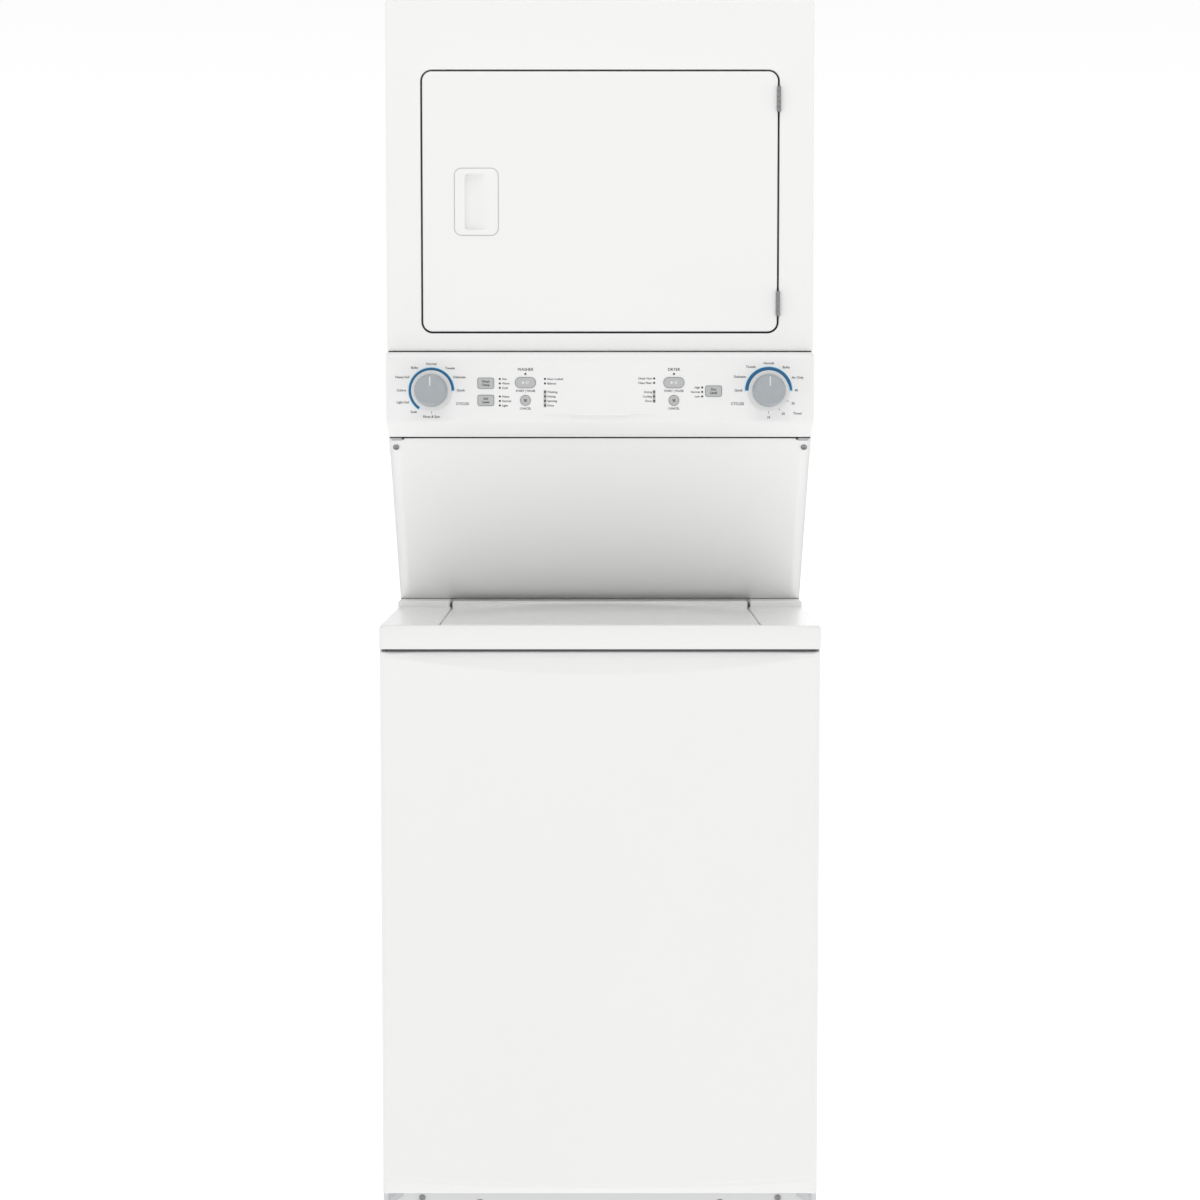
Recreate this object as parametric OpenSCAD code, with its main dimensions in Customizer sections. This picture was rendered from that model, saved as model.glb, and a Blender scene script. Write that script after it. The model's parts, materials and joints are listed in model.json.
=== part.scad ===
// Stacked laundry centre: a top-loading washer with a tumble dryer above it, as one free-standing
// appliance.
// Millimetres. +Z is up, -Y is the front, and the origin is on the floor under the middle of the box it
// fills.

/* [Overall] */
// Width across the washer's top
overall_w = 686; // [640:1:830]
// Depth of the washer cabinet, front face to rear wall
cabinet_d = 760; // [720:1:920]
// Height of the washer's top above the floor
deck_z = 930; // [900:1:1120]
// Height of the dryer's top above the washer's top
dryer_h = 978; // [960:1:1180]
// How far the exhaust pipe stands out behind
exhaust_reach = 40; // [30:1:60]
// Thickness of the painted sheet steel
sheet = 1; // [0.8:0.1:1.5]

/* [Washer] */
// Height of the underside of the base frame
base_z = 14; // [12:1:24]
// Height of the lower edge of the front panel
front_foot_z = 32; // [28:1:40]
// Depth of the front panels, face to rear edge
pan_d = 18; // [14:1:22]
// Radius of the vertical front corners of the washer
corner_r = 10; // [6:1:16]
// Height of the skirt round the washer's top
deck_skirt = 37; // [30:1:45]
// Dark gap between the washer's top and its front panel
deck_gap = 4; // [2:1:6]
// Deck left on each side of the lid
lid_side_margin = 93; // [88:1:112]
// Deck left in front of the lid
lid_front_margin = 12; // [10:1:20]
// Gap all round the lid
lid_gap = 1.5; // [1:0.5:3]
// Height of the lid's skirt
lid_skirt = 20; // [16:1:22]
// Height of the raised ledge behind the lid
ledge_h = 10; // [6:1:12]
// Width of the opening into the tub
mouth_w = 410; // [360:1:425]
// Depth of the opening into the tub
mouth_d = 305; // [260:1:310]
// Space between the outer tub and the cabinet sides
tub_side_gap = 53; // [50:1:75]
// Space between the outer tub and the front face
tub_front_gap = 34; // [30:1:50]
// Space between basket and outer tub
basket_gap = 26; // [20:1:32]
// Height of the tub's underside
tub_foot_z = 190; // [180:1:220]
// Diameter of the agitator's skirt
agitator_d = 300; // [240:1:360]
// Radius of the suspension rods
rod_r = 4; // [3:0.5:5]

/* [Dryer] */
// How much narrower the dryer is than the washer's top
dryer_inset = 6; // [2:1:10]
// How far the dryer's front stands behind the washer's front
set_back = 160; // [140:1:180]
// Height of the console's lower edge above the washer's top
console_lift = 289; // [270:1:310]
// Height of the console
console_h = 135; // [125:1:150]
// How far the console stands out from the dryer's front
console_proud = 22; // [18:1:28]
// Radius of the vertical front corners of the dryer
dryer_corner_r = 6; // [4:1:12]
// Cabinet front left on each side of the door opening
door_side_margin = 55; // [50:1:80]
// Cabinet front left above the door opening
door_top_margin = 108; // [90:1:130]
// Cabinet front left below the door opening
door_foot_margin = 28; // [25:1:40]
// Radius of the door opening's corners
door_corner_r = 18; // [12:1:26]
// Gap all round the door
door_gap = 3; // [2.6:0.2:4]
// Thickness of the door
door_t = 15; // [14:1:18]
// Width of the opening into the drum
throat_w = 450; // [400:1:460]
// Height of the opening into the drum
throat_h = 315; // [280:1:330]
// Space between the drum and the cabinet sides
drum_side_gap = 34; // [30:1:44]
// Space between the drum and the cabinet top
drum_top_gap = 11; // [8:1:20]
// Height of the lifting vanes inside the drum
vane_h = 52; // [40:1:60]
// Outer radius of the exhaust pipe
exhaust_r = 50.8; // [48:0.1:52]

/* [Controls] */
// Radius of the two cycle knobs' skirts
knob_r = 32; // [28:0.5:40.5]
// Distance from the dryer's side to a knob's centre
knob_margin = 72; // [66:1:80]
// Height of the knob centres above the console's lower edge
knob_lift = 74; // [68:1:80]
// Gap round a push button
button_gap = 0.4; // [0.3:0.1:0.6]

/* [Hidden] */
$fn = 96;

enamel = "#f2f2ef";
plastic_white = "#eeeeea";
plastic_grey = "#b9bab8";
steel = "#c9ccd0";
zinc = "#a9adb0";
rubber = "#333436";
board_green = "#2f6b46";
cut = 1;                            // how far a cutting shape runs past what it cuts
slip = 0.3;                         // gap between two surfaces that slide past each other
shaft_fit = 0.1;                    // radial clearance of a running shaft

// Planes of the two cabinets
y_front = -(cabinet_d + exhaust_reach) / 2;
y_rear = y_front + cabinet_d;
y_dry = y_front + set_back;
z_top = deck_z + dryer_h;
wash_hw = overall_w / 2 - 1;        // half width of the washer cabinet
dry_hw = (overall_w - dryer_inset) / 2;
skirt_z = deck_z - deck_skirt;
side_foot_z = front_foot_z - 12;    // lower edge of the cabinet's sides
front_top_z = skirt_z - deck_gap;
ledge_z = deck_z + ledge_h;

// Lid and its hinge
lid_hw = overall_w / 2 - lid_side_margin;
lid_front = y_front + lid_front_margin;
ledge_y = y_dry + 207;              // front of the raised ledge
lid_rear = ledge_y + 41;
lid_axis = [ledge_y + 13, deck_z - 10];
lid_pin_r = 4;
lid_pin_reach = 7;
recess_floor = 2;
recess_z = deck_z - lid_skirt - 2;  // upper face of the floor the lid closes onto
trough_z = deck_z - 44;
trough_y = ledge_y - 9;
recess_rear = lid_rear + 16;
mouth_y = lid_front + 33 + mouth_d / 2;
mouth_r = 80;

// Sloping panel between washer and dryer, from its foot up to its top
slope_foot = [y_dry + 261, ledge_z];
slope_head = [y_dry + 33, deck_z + console_lift - 3];
slope_run = slope_head - slope_foot;
slope_len = norm(slope_run);
slope_back = [slope_run[1], -slope_run[0]] / slope_len;   // unit normal pointing into the cabinet
slope_tilt = atan2(-slope_run[0], slope_run[1]);          // lean from the vertical

// Tub, basket and drive
tub_r = min(wash_hw - sheet - tub_side_gap, (cabinet_d - tub_front_gap - 150) / 2);
tub_cy = y_front + tub_front_gap + tub_r;
tub_wall = 3;
tub_top_z = deck_z - 140;
basket_r = tub_r - basket_gap;
basket_foot_z = tub_foot_z + 32;
ring_top_z = tub_top_z - 10;
ring_h = 35;
ring_w = 38;
ring_round = 6;
basket_t = 1;
rod_xy = round((tub_r + 82) * sin(45));
ear_z = tub_foot_z + 140;
ear_t = 16;
cap_z = ear_z - 44;
cap_t = 10;
rod_top_z = deck_z - 42;
spin_r = 12.5;
agitator_shaft_r = 8;
gearcase_z = [112, tub_foot_z - 4];
pulley_z = [84, 104];
tub_pulley_r = 110;
motor_pulley_r = 20;
motor_xy = [-125, tub_cy + 115];
washer_motor_r = 58;
motor_shaft_r = 7;
belt_t = 3;

// Dryer door, drum and air path
opening_w = 2 * dry_hw - 2 * door_side_margin;
opening_top = z_top - door_top_margin;
console_z = deck_z + console_lift;
console_top = console_z + console_h;
front_z = console_top + 2;
opening_foot = front_z + door_foot_margin;
opening_h = opening_top - opening_foot;
axis_z = (opening_top + opening_foot) / 2;
recess_d = 24;
y_flange = y_dry + recess_d;        // rear face of the flange the door seals on
throat_r = 60;
y_plate = y_dry + 57;               // rear face of the plate the drum runs against
drum_r = min(dry_hw - sheet - drum_side_gap, z_top - axis_z - drum_top_gap);
drum_t = 1;
y_drum = [y_dry + 70, y_rear - 42];
drum_shaft_r = 8;
collar_r = drum_r - 12;
door_w = opening_w - 2 * door_gap;
door_h = opening_h - 2 * door_gap;
door_r = door_corner_r - door_gap;
y_door = y_dry - 1;
y_door_back = y_door + door_t;
handle_w = 69;
handle_h = 105;
handle_x = -door_w / 2 + 51 + handle_w / 2;
hinge_h = 40;
hinge_drop = 44;                    // from the door's top or foot to the middle of a hinge
hinge_axis = [opening_w / 2 - door_gap / 2, y_dry - 4.4];
knuckle_r = 3.2;
hinge_pin_r = 1.4;
leaf_t = 1;
leaf_d = 10;
fan_x = dry_hw - 125;               // the dryer motor's axis
fan_z = console_z + 71;
fan_r = 60;
motor_r = 52;
dryer_shaft_r = 6;
belt_y = [y_rear - 155, y_rear - 145];
drum_pulley_r = 14;
idler_r = 20;
idler_at = [fan_x - 85, fan_z - 28];
base_pan_z = console_z + 3;
duct_z = console_z - 69;
duct_t = 1;
duct_r = exhaust_r - 2;
slot_x = [-12, 162];                // the lint filter's slot in the drum opening
slot_y = [y_dry + 39, y_dry + 49];

// Console and controls
y_face = y_dry - console_proud;
y_console_back = y_dry + 26;
console_t = 2.5;
knob_x = dry_hw - knob_margin;
knob_z = console_z + knob_lift;
knob_hole_r = 5;
knob_shaft_r = 3;
board_y = y_dry + 4;
// Each button: [x, height above the console's lower edge, width, height, corner radius]
temperature = [-(knob_x - 86.5), 85.5, 25, 16, 2.5];
level = [-(knob_x - 86.5), 58.3, 25, 16, 2.5];
washer_start = [-(knob_x - 149.5), 86.5, 32, 16, 7.9];
washer_cancel = [-(knob_x - 149.5), 58.3, 15.4, 15.4, 7.6];
dryness = [knob_x - 87.5, 73, 25, 16, 2.5];
dryer_start = [knob_x - 150.5, 86.5, 32, 16, 7.9];
dryer_cancel = [knob_x - 150.5, 58.3, 15.4, 15.4, 7.6];
BUTTONS = [temperature, level, washer_start, washer_cancel, dryness, dryer_start, dryer_cancel];
lamp_pitch = 7.1;
lamp_r = 1.25;
lamp_t = 0.5;
// Each column of lamps: [x, height of its top lamp above the console's lower edge, how many]
LAMPS = [
    [-(knob_x - 108.8), 92.3, 3], [-(knob_x - 108.8), 64.5, 3], [-(knob_x - 149.5), 100.2, 1],
    [-(knob_x - 180.6), 92.3, 2], [-(knob_x - 180.6), 71.7, 4],
    [knob_x - 150.5, 100.2, 1], [knob_x - 182, 93.1, 2], [knob_x - 182, 71.7, 3], [knob_x - 105.6, 78.8, 3]
];

// ---- shapes that repeat ----

// Rounded rectangle about the origin, with true arcs
module rounded_rect(w, h, r) {
    square([w - 2 * r, h], center = true);
    square([w, h - 2 * r], center = true);
    for (sx = [-1, 1], sy = [-1, 1])
        translate([sx * (w / 2 - r), sy * (h / 2 - r)]) circle(r = r);
}

// Carries a flat shape, drawn in X and Z about (0, at_z), from y0 back to y1
module upright(y0, y1, at_z = 0, at_x = 0) {
    translate([at_x, y1, at_z]) rotate([90, 0, 0]) linear_extrude(y1 - y0) children();
}

// Box between two opposite corners
module block(low, high) {
    translate(low) cube(high - low);
}

// Cylinder along Y at x and z, from y0 back to y1
module rod_y(r, y0, y1, x = 0, z = 0) {
    translate([x, y1, z]) rotate([90, 0, 0]) cylinder(r = r, h = y1 - y0);
}

// Cylinder along Z at a place [x, y], from z0 up to z1
module rod_z(r, z0, z1, at = [0, 0]) {
    translate([at[0], at[1], z0]) cylinder(r = r, h = z1 - z0);
}

// Flat shape drawn in Y and Z, carried from x0 across to x1
module across(x0, x1) {
    translate([x0, 0, 0]) rotate([90, 0, 90]) linear_extrude(x1 - x0) children();
}

// Plan of a panel whose two front corners are round, from y0 back to y1
module front_plan(hw, y0, y1, r) {
    intersection() {
        translate([-hw, y0]) square([2 * hw, y1 - y0]);
        union() {
            translate([-hw + r, y0]) square([2 * (hw - r), y1 - y0]);
            translate([-hw, y0 + r]) square([2 * hw, y1 - y0]);
            for (s = [-1, 1]) translate([s * (hw - r), y0 + r]) circle(r = r);
        }
    }
}

// Points of a belt round pulleys given anticlockwise as [x, y, radius], grown by extra
function arc(c, r, a0, a1, steps) =
    [for (i = [0 : steps]) let (a = a0 + (a1 - a0) * i / steps) c + r * [cos(a), sin(a)]];
function leave_angle(p, q) =
    let (d = [q[0] - p[0], q[1] - p[1]]) atan2(d[1], d[0]) - acos((p[2] - q[2]) / norm(d));
function belt_points(pulleys, extra, steps = 20) =
    let (n = len(pulleys))
    [for (i = [0 : n - 1])
        let (p = pulleys[i], a0 = leave_angle(pulleys[(i + n - 1) % n], p),
            a1 = leave_angle(p, pulleys[(i + 1) % n]),
             turn = ((a1 - a0) % 360 + 360) % 360)
        each arc([p[0], p[1]], p[2] + extra, a0, a0 + turn, p[2] > 100 ? 3 * steps : steps)];

module belt_plan(pulleys) {
    difference() {
        polygon(belt_points(pulleys, slip + belt_t));
        polygon(belt_points(pulleys, slip));
    }
}

// ---- washer cabinet ----

module washer_cabinet() {
    wrap_front = y_front + pan_d + 1;
    flange = 14;
    color(enamel) difference() {
        translate([0, 0, side_foot_z]) linear_extrude(skirt_z - side_foot_z) difference() {
            translate([0, (wrap_front + y_rear) / 2])
                square([2 * wash_hw, y_rear - wrap_front], center = true);
            translate([0, (wrap_front + y_rear) / 2])
                square([2 * (wash_hw - sheet), y_rear - wrap_front - 2 * sheet], center = true);
            translate([-wash_hw + flange, wrap_front - cut])
                square([2 * (wash_hw - flange), sheet + 2 * cut]);
        }
        block([-wash_hw + sheet, wrap_front - cut, side_foot_z - cut],
              [wash_hw - sheet, wrap_front + sheet + cut, front_foot_z]);
        for (x = inlet_x) rod_y(inlet_r + hose_room, y_rear - sheet - cut, y_rear + cut, x, inlet_z);
        rod_y(drain_r + hose_room, y_rear - sheet - cut, y_rear + cut, drain_x, drain_z);
    }
}

module washer_front_panel() {
    color(enamel) difference() {
        translate([0, 0, front_foot_z]) linear_extrude(front_top_z - front_foot_z)
            front_plan(wash_hw, y_front, y_front + pan_d, corner_r);
        translate([0, 0, front_foot_z + sheet]) linear_extrude(front_top_z - front_foot_z - 2 * sheet)
            front_plan(wash_hw - sheet, y_front + sheet, y_front + pan_d + cut, corner_r - sheet);
    }
}

frame_hw = wash_hw - sheet;
frame_front = y_front + 8;
frame_rear = y_rear - sheet;
rail_t = 2;
rail_w = 36;
leg_x = frame_hw - 38;
leg_y = [frame_front + 42, frame_rear - 37];
stud_r = 5;
toe_screw_x = wash_hw - 62;
toe_screw_z = 24;
toe_notch_x = 189;

module base_frame() {
    rail_top = front_foot_z;
    color(zinc) difference() {
        union() {
            difference() {
                block([-frame_hw, frame_front, base_z], [frame_hw, frame_rear, rail_top]);
                block([-frame_hw + rail_t, frame_front + rail_t, base_z + rail_t],
                      [frame_hw - rail_t, frame_rear - rail_t, rail_top + cut]);
                block([-frame_hw + rail_w, frame_front + rail_w, base_z - cut],
                      [frame_hw - rail_w, frame_rear - rail_w, base_z + rail_t + cut]);
            }
            for (sx = [-1, 1], y = leg_y)
                translate([sx * leg_x, y, base_z]) translate([0, 0, rail_t / 2 + 1])
                    cube([60, 60, rail_t + 2], center = true);
        }
        for (sx = [-1, 1], y = leg_y) rod_z(stud_r + slip, base_z - cut, base_z + 10, [sx * leg_x, y]);
        for (sx = [-1, 1])
            rod_y(8, frame_front - cut, frame_front + rail_t + cut, sx * toe_notch_x, base_z);
    }
}

module leveling_legs() {
    foot_r = 20;
    color(rubber) for (sx = [-1, 1], y = leg_y) translate([sx * leg_x, y, 0]) {
        cylinder(r1 = foot_r, r2 = foot_r - 3, h = 6);
        cylinder(r = stud_r, h = base_z + 46);
        translate([0, 0, 5]) cylinder(r = 11, h = base_z - 5, $fn = 6);
    }
}

module lid_outline(grow, y0, y1) {
    translate([-lid_hw - grow, y0 - grow]) square([2 * (lid_hw + grow), y1 - y0 + grow]);
}

module top_deck() {
    t = 2;
    color(enamel) difference() {
        union() {
            difference() {
                union() {
                    translate([0, 0, skirt_z]) linear_extrude(deck_skirt)
                        front_plan(overall_w / 2, y_front, y_rear, corner_r);
                    block([-dry_hw - 1, ledge_y, deck_z - cut], [dry_hw + 1, y_rear, ledge_z]);
                }
                translate([0, 0, skirt_z - cut]) linear_extrude(deck_skirt - t + cut)
                    front_plan(overall_w / 2 - t, y_front + t, y_rear - t, corner_r - t);
                block([-dry_hw + 1, ledge_y + t, skirt_z], [dry_hw - 1, y_rear - t, ledge_z - t]);
            }
            translate([0, 0, recess_z - recess_floor]) linear_extrude(deck_z - recess_z)
                lid_outline(lid_gap + t, lid_front, trough_y);
            translate([0, 0, trough_z - recess_floor]) linear_extrude(ledge_z - trough_z)
                translate([-lid_hw - lid_gap - t, trough_y - t])
                    square([2 * (lid_hw + lid_gap + t), recess_rear + 2 * t - trough_y]);
            translate([0, mouth_y, recess_z - 26]) linear_extrude(26)
                rounded_rect(mouth_w + 2 * t, mouth_d + 2 * t, mouth_r + t);
        }
        translate([0, 0, recess_z]) linear_extrude(60) lid_outline(lid_gap, lid_front, trough_y);
        translate([0, 0, trough_z]) linear_extrude(80)
            translate([-lid_hw - lid_gap, trough_y])
                square([2 * (lid_hw + lid_gap), recess_rear - trough_y]);
        translate([0, mouth_y, recess_z - 60]) linear_extrude(120) rounded_rect(mouth_w, mouth_d, mouth_r);
        translate([-lid_hw - 20, lid_axis[0], lid_axis[1]]) rotate([0, 90, 0])
            cylinder(r = lid_pin_r + shaft_fit, h = 2 * lid_hw + 40);
    }
}

inlet_x = [-(wash_hw - 124), -(wash_hw - 160)];
inlet_z = deck_z - 90;
inlet_r = 13.2;
inlet_reach = 16;
drain_x = wash_hw - 127;
drain_z = deck_z - 80;
drain_r = 15;
drain_reach = 25;
hose_room = 2;                     // gap round the spigot, so that a hose can go on
hose_r = 14;
hose_y = y_rear - 30;
pump_at = [drain_x, y_front + 150];
pump_r = 42;

module inlet_valve() {
    color("#3f6fb0") difference() {
        union() {
            block([inlet_x[0] - 17, y_rear - 38, inlet_z - 25],
                [inlet_x[1] + 17, y_rear - sheet, inlet_z + 25]);
            for (x = inlet_x) rod_y(inlet_r, y_rear - 20, y_rear + inlet_reach, x, inlet_z);
        }
        for (x = inlet_x) rod_y(9, y_rear - 24, y_rear + inlet_reach + cut, x, inlet_z);
    }
}

module drain_pump() {
    hose_z = 92;
    color(rubber) difference() {
        union() {
            rod_z(pump_r, 62, 120, pump_at);
            block([pump_at[0] - 15, pump_at[1] - 15, base_z + rail_t],
                [frame_hw - rail_t - 1, pump_at[1] + 15, 63]);
            rod_y(hose_r, pump_at[1] + 20, hose_y, drain_x, hose_z);
            translate([drain_x, hose_y, hose_z]) sphere(r = hose_r);
            rod_z(hose_r, hose_z, drain_z, [drain_x, hose_y]);
            translate([drain_x, hose_y, drain_z]) sphere(r = hose_r);
            rod_y(hose_r, hose_y, y_rear - 2, drain_x, drain_z);
            rod_y(drain_r, y_rear - 3, y_rear + drain_reach, drain_x, drain_z);
        }
        rod_y(11, hose_y, y_rear + drain_reach + cut, drain_x, drain_z);
    }
}

module each_rod() {
    for (sx = [-1, 1], sy = [-1, 1]) translate([sx * rod_xy, tub_cy + sy * rod_xy, 0])
        rotate([0, 0, sx > 0 ? 0 : 180]) children();
}

module suspension_rods() {
    bracket_z = rod_top_z - 10;
    color(zinc) each_rod() {
        rod_z(rod_r, cap_z, rod_top_z);
        rod_z(16, cap_z, cap_z + cap_t);
        rod_z(9, bracket_z + 3, rod_top_z);
        block([-14, -20, bracket_z], [wash_hw - sheet - rod_xy, 20, bracket_z + 4]);
    }
}

module suspension_springs() {
    coil_z = cap_z + cap_t;
    coils = 6;
    pitch = (ear_z - coil_z) / coils;
    wire = 2.4;
    color(steel) each_rod() difference() {
        union() {
            rod_z(11, coil_z, ear_z);
            for (i = [0 : coils - 1]) rod_z(11 + wire, coil_z + i * pitch, coil_z + i * pitch + wire);
        }
        rod_z(rod_r + 2, coil_z - cut, ear_z + cut);
    }
}

// ---- washer tub and drive ----

module outer_tub() {
    color(plastic_grey) difference() {
        union() {
            rod_z(tub_r, tub_foot_z, tub_top_z, [0, tub_cy]);
            for (a = [45 : 90 : 315]) translate([0, tub_cy, ear_z]) rotate([0, 0, a])
                translate([tub_r - 8, -20, 0]) cube([108, 40, ear_t]);
            rod_z(30, tub_foot_z - 4, tub_foot_z + 1, [0, tub_cy]);
        }
        rod_z(tub_r - tub_wall, tub_foot_z + tub_wall, tub_top_z + cut, [0, tub_cy]);
        rod_z(spin_r + slip, tub_foot_z - 10, tub_foot_z + 10, [0, tub_cy]);
        for (sx = [-1, 1], sy = [-1, 1])
            rod_z(rod_r + 1, ear_z - cut, ear_z + ear_t + cut, [sx * rod_xy, tub_cy + sy * rod_xy]);
    }
}

module tub_cover() {
    mouth = basket_r - ring_w - 10;
    color(plastic_grey) difference() {
        union() {
            rod_z(tub_r + 3, tub_top_z, tub_top_z + 3, [0, tub_cy]);
            rod_z(mouth + 3, tub_top_z, tub_top_z + 16, [0, tub_cy]);
        }
        rod_z(mouth, tub_top_z - cut, tub_top_z + 20, [0, tub_cy]);
    }
}

module gearcase() {
    color(zinc) difference() {
        union() {
            rod_z(62, gearcase_z[0] + 14, gearcase_z[1], [0, tub_cy]);
            rod_z(40, gearcase_z[0], gearcase_z[1], [0, tub_cy]);
        }
        rod_z(spin_r + shaft_fit, gearcase_z[0] - cut, gearcase_z[1] + cut, [0, tub_cy]);
    }
}

module washer_motor() {
    color("#55585c") difference() {
        union() {
            rod_z(washer_motor_r, 110, 174, motor_xy);
            for (a = [0, 120, 240])
                rod_z(6, 150, tub_foot_z, motor_xy + 42 * [cos(a), sin(a)]);
        }
        rod_z(motor_shaft_r + shaft_fit, 110 - cut, 160, motor_xy);
    }
}

module washer_belt() {
    color(rubber) translate([0, 0, pulley_z[0] + 6]) linear_extrude(8)
        belt_plan([[0, tub_cy, tub_pulley_r], [motor_xy[0], motor_xy[1], motor_pulley_r]]);
}

module tub_pulley() {
    color("#7c8084") difference() {
        union() {
            rod_z(tub_pulley_r, pulley_z[0] + 5, pulley_z[0] + 15, [0, tub_cy]);
            rod_z(24, pulley_z[0], pulley_z[1], [0, tub_cy]);
            rod_z(spin_r, pulley_z[0], gearcase_z[0] + 14, [0, tub_cy]);
            for (z = [pulley_z[0] + 3, pulley_z[0] + 15]) rod_z(tub_pulley_r + 3, z, z + 2, [0, tub_cy]);
        }
        for (a = [0 : 60 : 300]) rod_z(22, pulley_z[0] - cut, pulley_z[1] + cut,
            [68 * cos(a), tub_cy + 68 * sin(a)]);
    }
}

module motor_pulley() {
    color(zinc) {
        rod_z(motor_pulley_r, pulley_z[0] + 5, pulley_z[0] + 15, motor_xy);
        for (z = [pulley_z[0] + 3, pulley_z[0] + 15]) rod_z(motor_pulley_r + 3, z, z + 2, motor_xy);
        rod_z(motor_shaft_r, pulley_z[0], 158, motor_xy);
    }
}

module wash_basket() {
    color(steel) difference() {
        union() {
            rod_z(basket_r, basket_foot_z, ring_top_z - ring_h, [0, tub_cy]);
            rod_z(40, basket_foot_z - 5, basket_foot_z + 2, [0, tub_cy]);
            rod_z(spin_r, gearcase_z[0] + 18, basket_foot_z + 2, [0, tub_cy]);
        }
        rod_z(basket_r - basket_t, basket_foot_z + 2, ring_top_z, [0, tub_cy]);
        rod_z(agitator_shaft_r + shaft_fit, 0, basket_foot_z + 10, [0, tub_cy]);
    }
}

module balance_ring() {
    color(plastic_white) translate([0, tub_cy, ring_top_z - ring_h]) rotate_extrude() {
        translate([basket_r - ring_w, ring_round]) square([ring_w + ring_round, ring_h - 2 * ring_round]);
        translate([basket_r - ring_w + ring_round, 0]) square([ring_w - ring_round, ring_h]);
        for (x = [basket_r - ring_w + ring_round, basket_r], z = [ring_round, ring_h - ring_round])
            translate([x, z]) circle(r = ring_round);
    }
}

module agitator() {
    foot = basket_foot_z + 8;
    skirt_r = agitator_d / 2;
    post_r = 44;
    top = ring_top_z - 110;
    wall = 3;
    color(plastic_white) {
        translate([0, tub_cy, 0]) rotate_extrude() difference() {
            polygon([[agitator_shaft_r - 1, foot + 60], [skirt_r - 20, foot + 4], [skirt_r, foot],
                [skirt_r, foot + 5],
                     [post_r + 25, foot + 50], [post_r, foot + 92], [post_r - 6, top - 12],
                         [post_r - 16, top],
                     [0, top], [0, foot + 60]]);
            polygon([[agitator_shaft_r, foot + 66], [post_r - 12, foot + 66],
                [post_r - wall - 2, foot + 90],
                     [post_r - 6 - wall, top - 14], [post_r - 20, top - wall],
                         [agitator_shaft_r, top - wall]]);
        }
        for (a = [0 : 90 : 270]) translate([0, tub_cy, 0]) rotate([0, 0, a + 45]) {
            translate([post_r - 6, -4, foot + 42]) cube([50, 8, 58]);
            translate([post_r - 8, -3, foot + 150]) cube([22, 6, top - foot - 230]);
        }
        rod_z(agitator_shaft_r, gearcase_z[0] + 18, foot + 70, [0, tub_cy]);
    }
}

// ---- lid ----

module lid_profile(inset) {
    front = lid_front + inset;
    rear = lid_rear - inset;
    top = -inset;
    polygon([[front, deck_z - lid_skirt - (inset > 0 ? cut : 0)], [front, deck_z + top],
             [ledge_y - 2 + inset, deck_z + top], [ledge_y + 2 + inset, ledge_z + top],
                 [rear, ledge_z + top],
             [rear, lid_axis[1] - 2 - (inset > 0 ? cut : 0)],
             [trough_y + 4, lid_axis[1] - 2 - (inset > 0 ? cut : 0)],
             [trough_y + 2, deck_z - lid_skirt - (inset > 0 ? cut : 0)]]);
}

module washer_lid() {
    color(enamel) {
        difference() {
            across(-lid_hw, lid_hw) lid_profile(0);
            across(-lid_hw + sheet, lid_hw - sheet) lid_profile(sheet);
        }
        for (s = [-1, 1]) translate([s * lid_hw, lid_axis[0], lid_axis[1]]) rotate([0, s * 90, 0])
            translate([0, 0, -sheet]) cylinder(r = lid_pin_r, h = lid_pin_reach);
    }
}

module lid_liner() {
    z = deck_z - lid_skirt + 3;
    color(plastic_white) difference() {
        block([-lid_hw + sheet, lid_front + sheet, z], [lid_hw - sheet, trough_y - 4, z + 6]);
        translate([0, (lid_front + trough_y) / 2, z - cut]) linear_extrude(cut + 4)
            rounded_rect(2 * lid_hw - 70, trough_y - lid_front - 60, 50);
    }
}

// ---- dryer cabinet ----

module dryer_cabinet() {
    step_y = y_console_back;
    along = slope_run / slope_len;
    color(enamel) difference() {
        block([-dry_hw, y_dry + pan_d, ledge_z], [dry_hw, y_rear, z_top]);
        block([-dry_hw + sheet, y_dry, ledge_z - cut], [dry_hw - sheet, y_rear + cut, z_top - sheet]);
        block([-dry_hw - cut, y_dry, ledge_z - cut], [dry_hw + cut, step_y, front_z]);
        across(-dry_hw - cut, dry_hw + cut)
            polygon([slope_foot - 40 * along, slope_head + 8 * along, [y_dry, console_z],
                [y_dry, ledge_z - 20]]);
    }
}

module sloped_panel() {
    in = slope_back * sheet;
    color(enamel) {
        across(-dry_hw + sheet, dry_hw - sheet) {
            polygon([slope_foot, slope_foot + in, slope_head + in, slope_head]);
            translate([slope_foot[0], slope_foot[1]]) square([24, sheet]);
            translate([slope_head[0], slope_head[1] - sheet]) square([24, sheet]);
        }
    }
}

module rear_panel() {
    color(zinc) difference() {
        block([-dry_hw + sheet, y_rear - sheet, ledge_z], [dry_hw - sheet, y_rear, z_top - sheet]);
        rod_y(duct_r + slip, y_rear - sheet - cut, y_rear + cut, fan_x, duct_z);
    }
}

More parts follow.
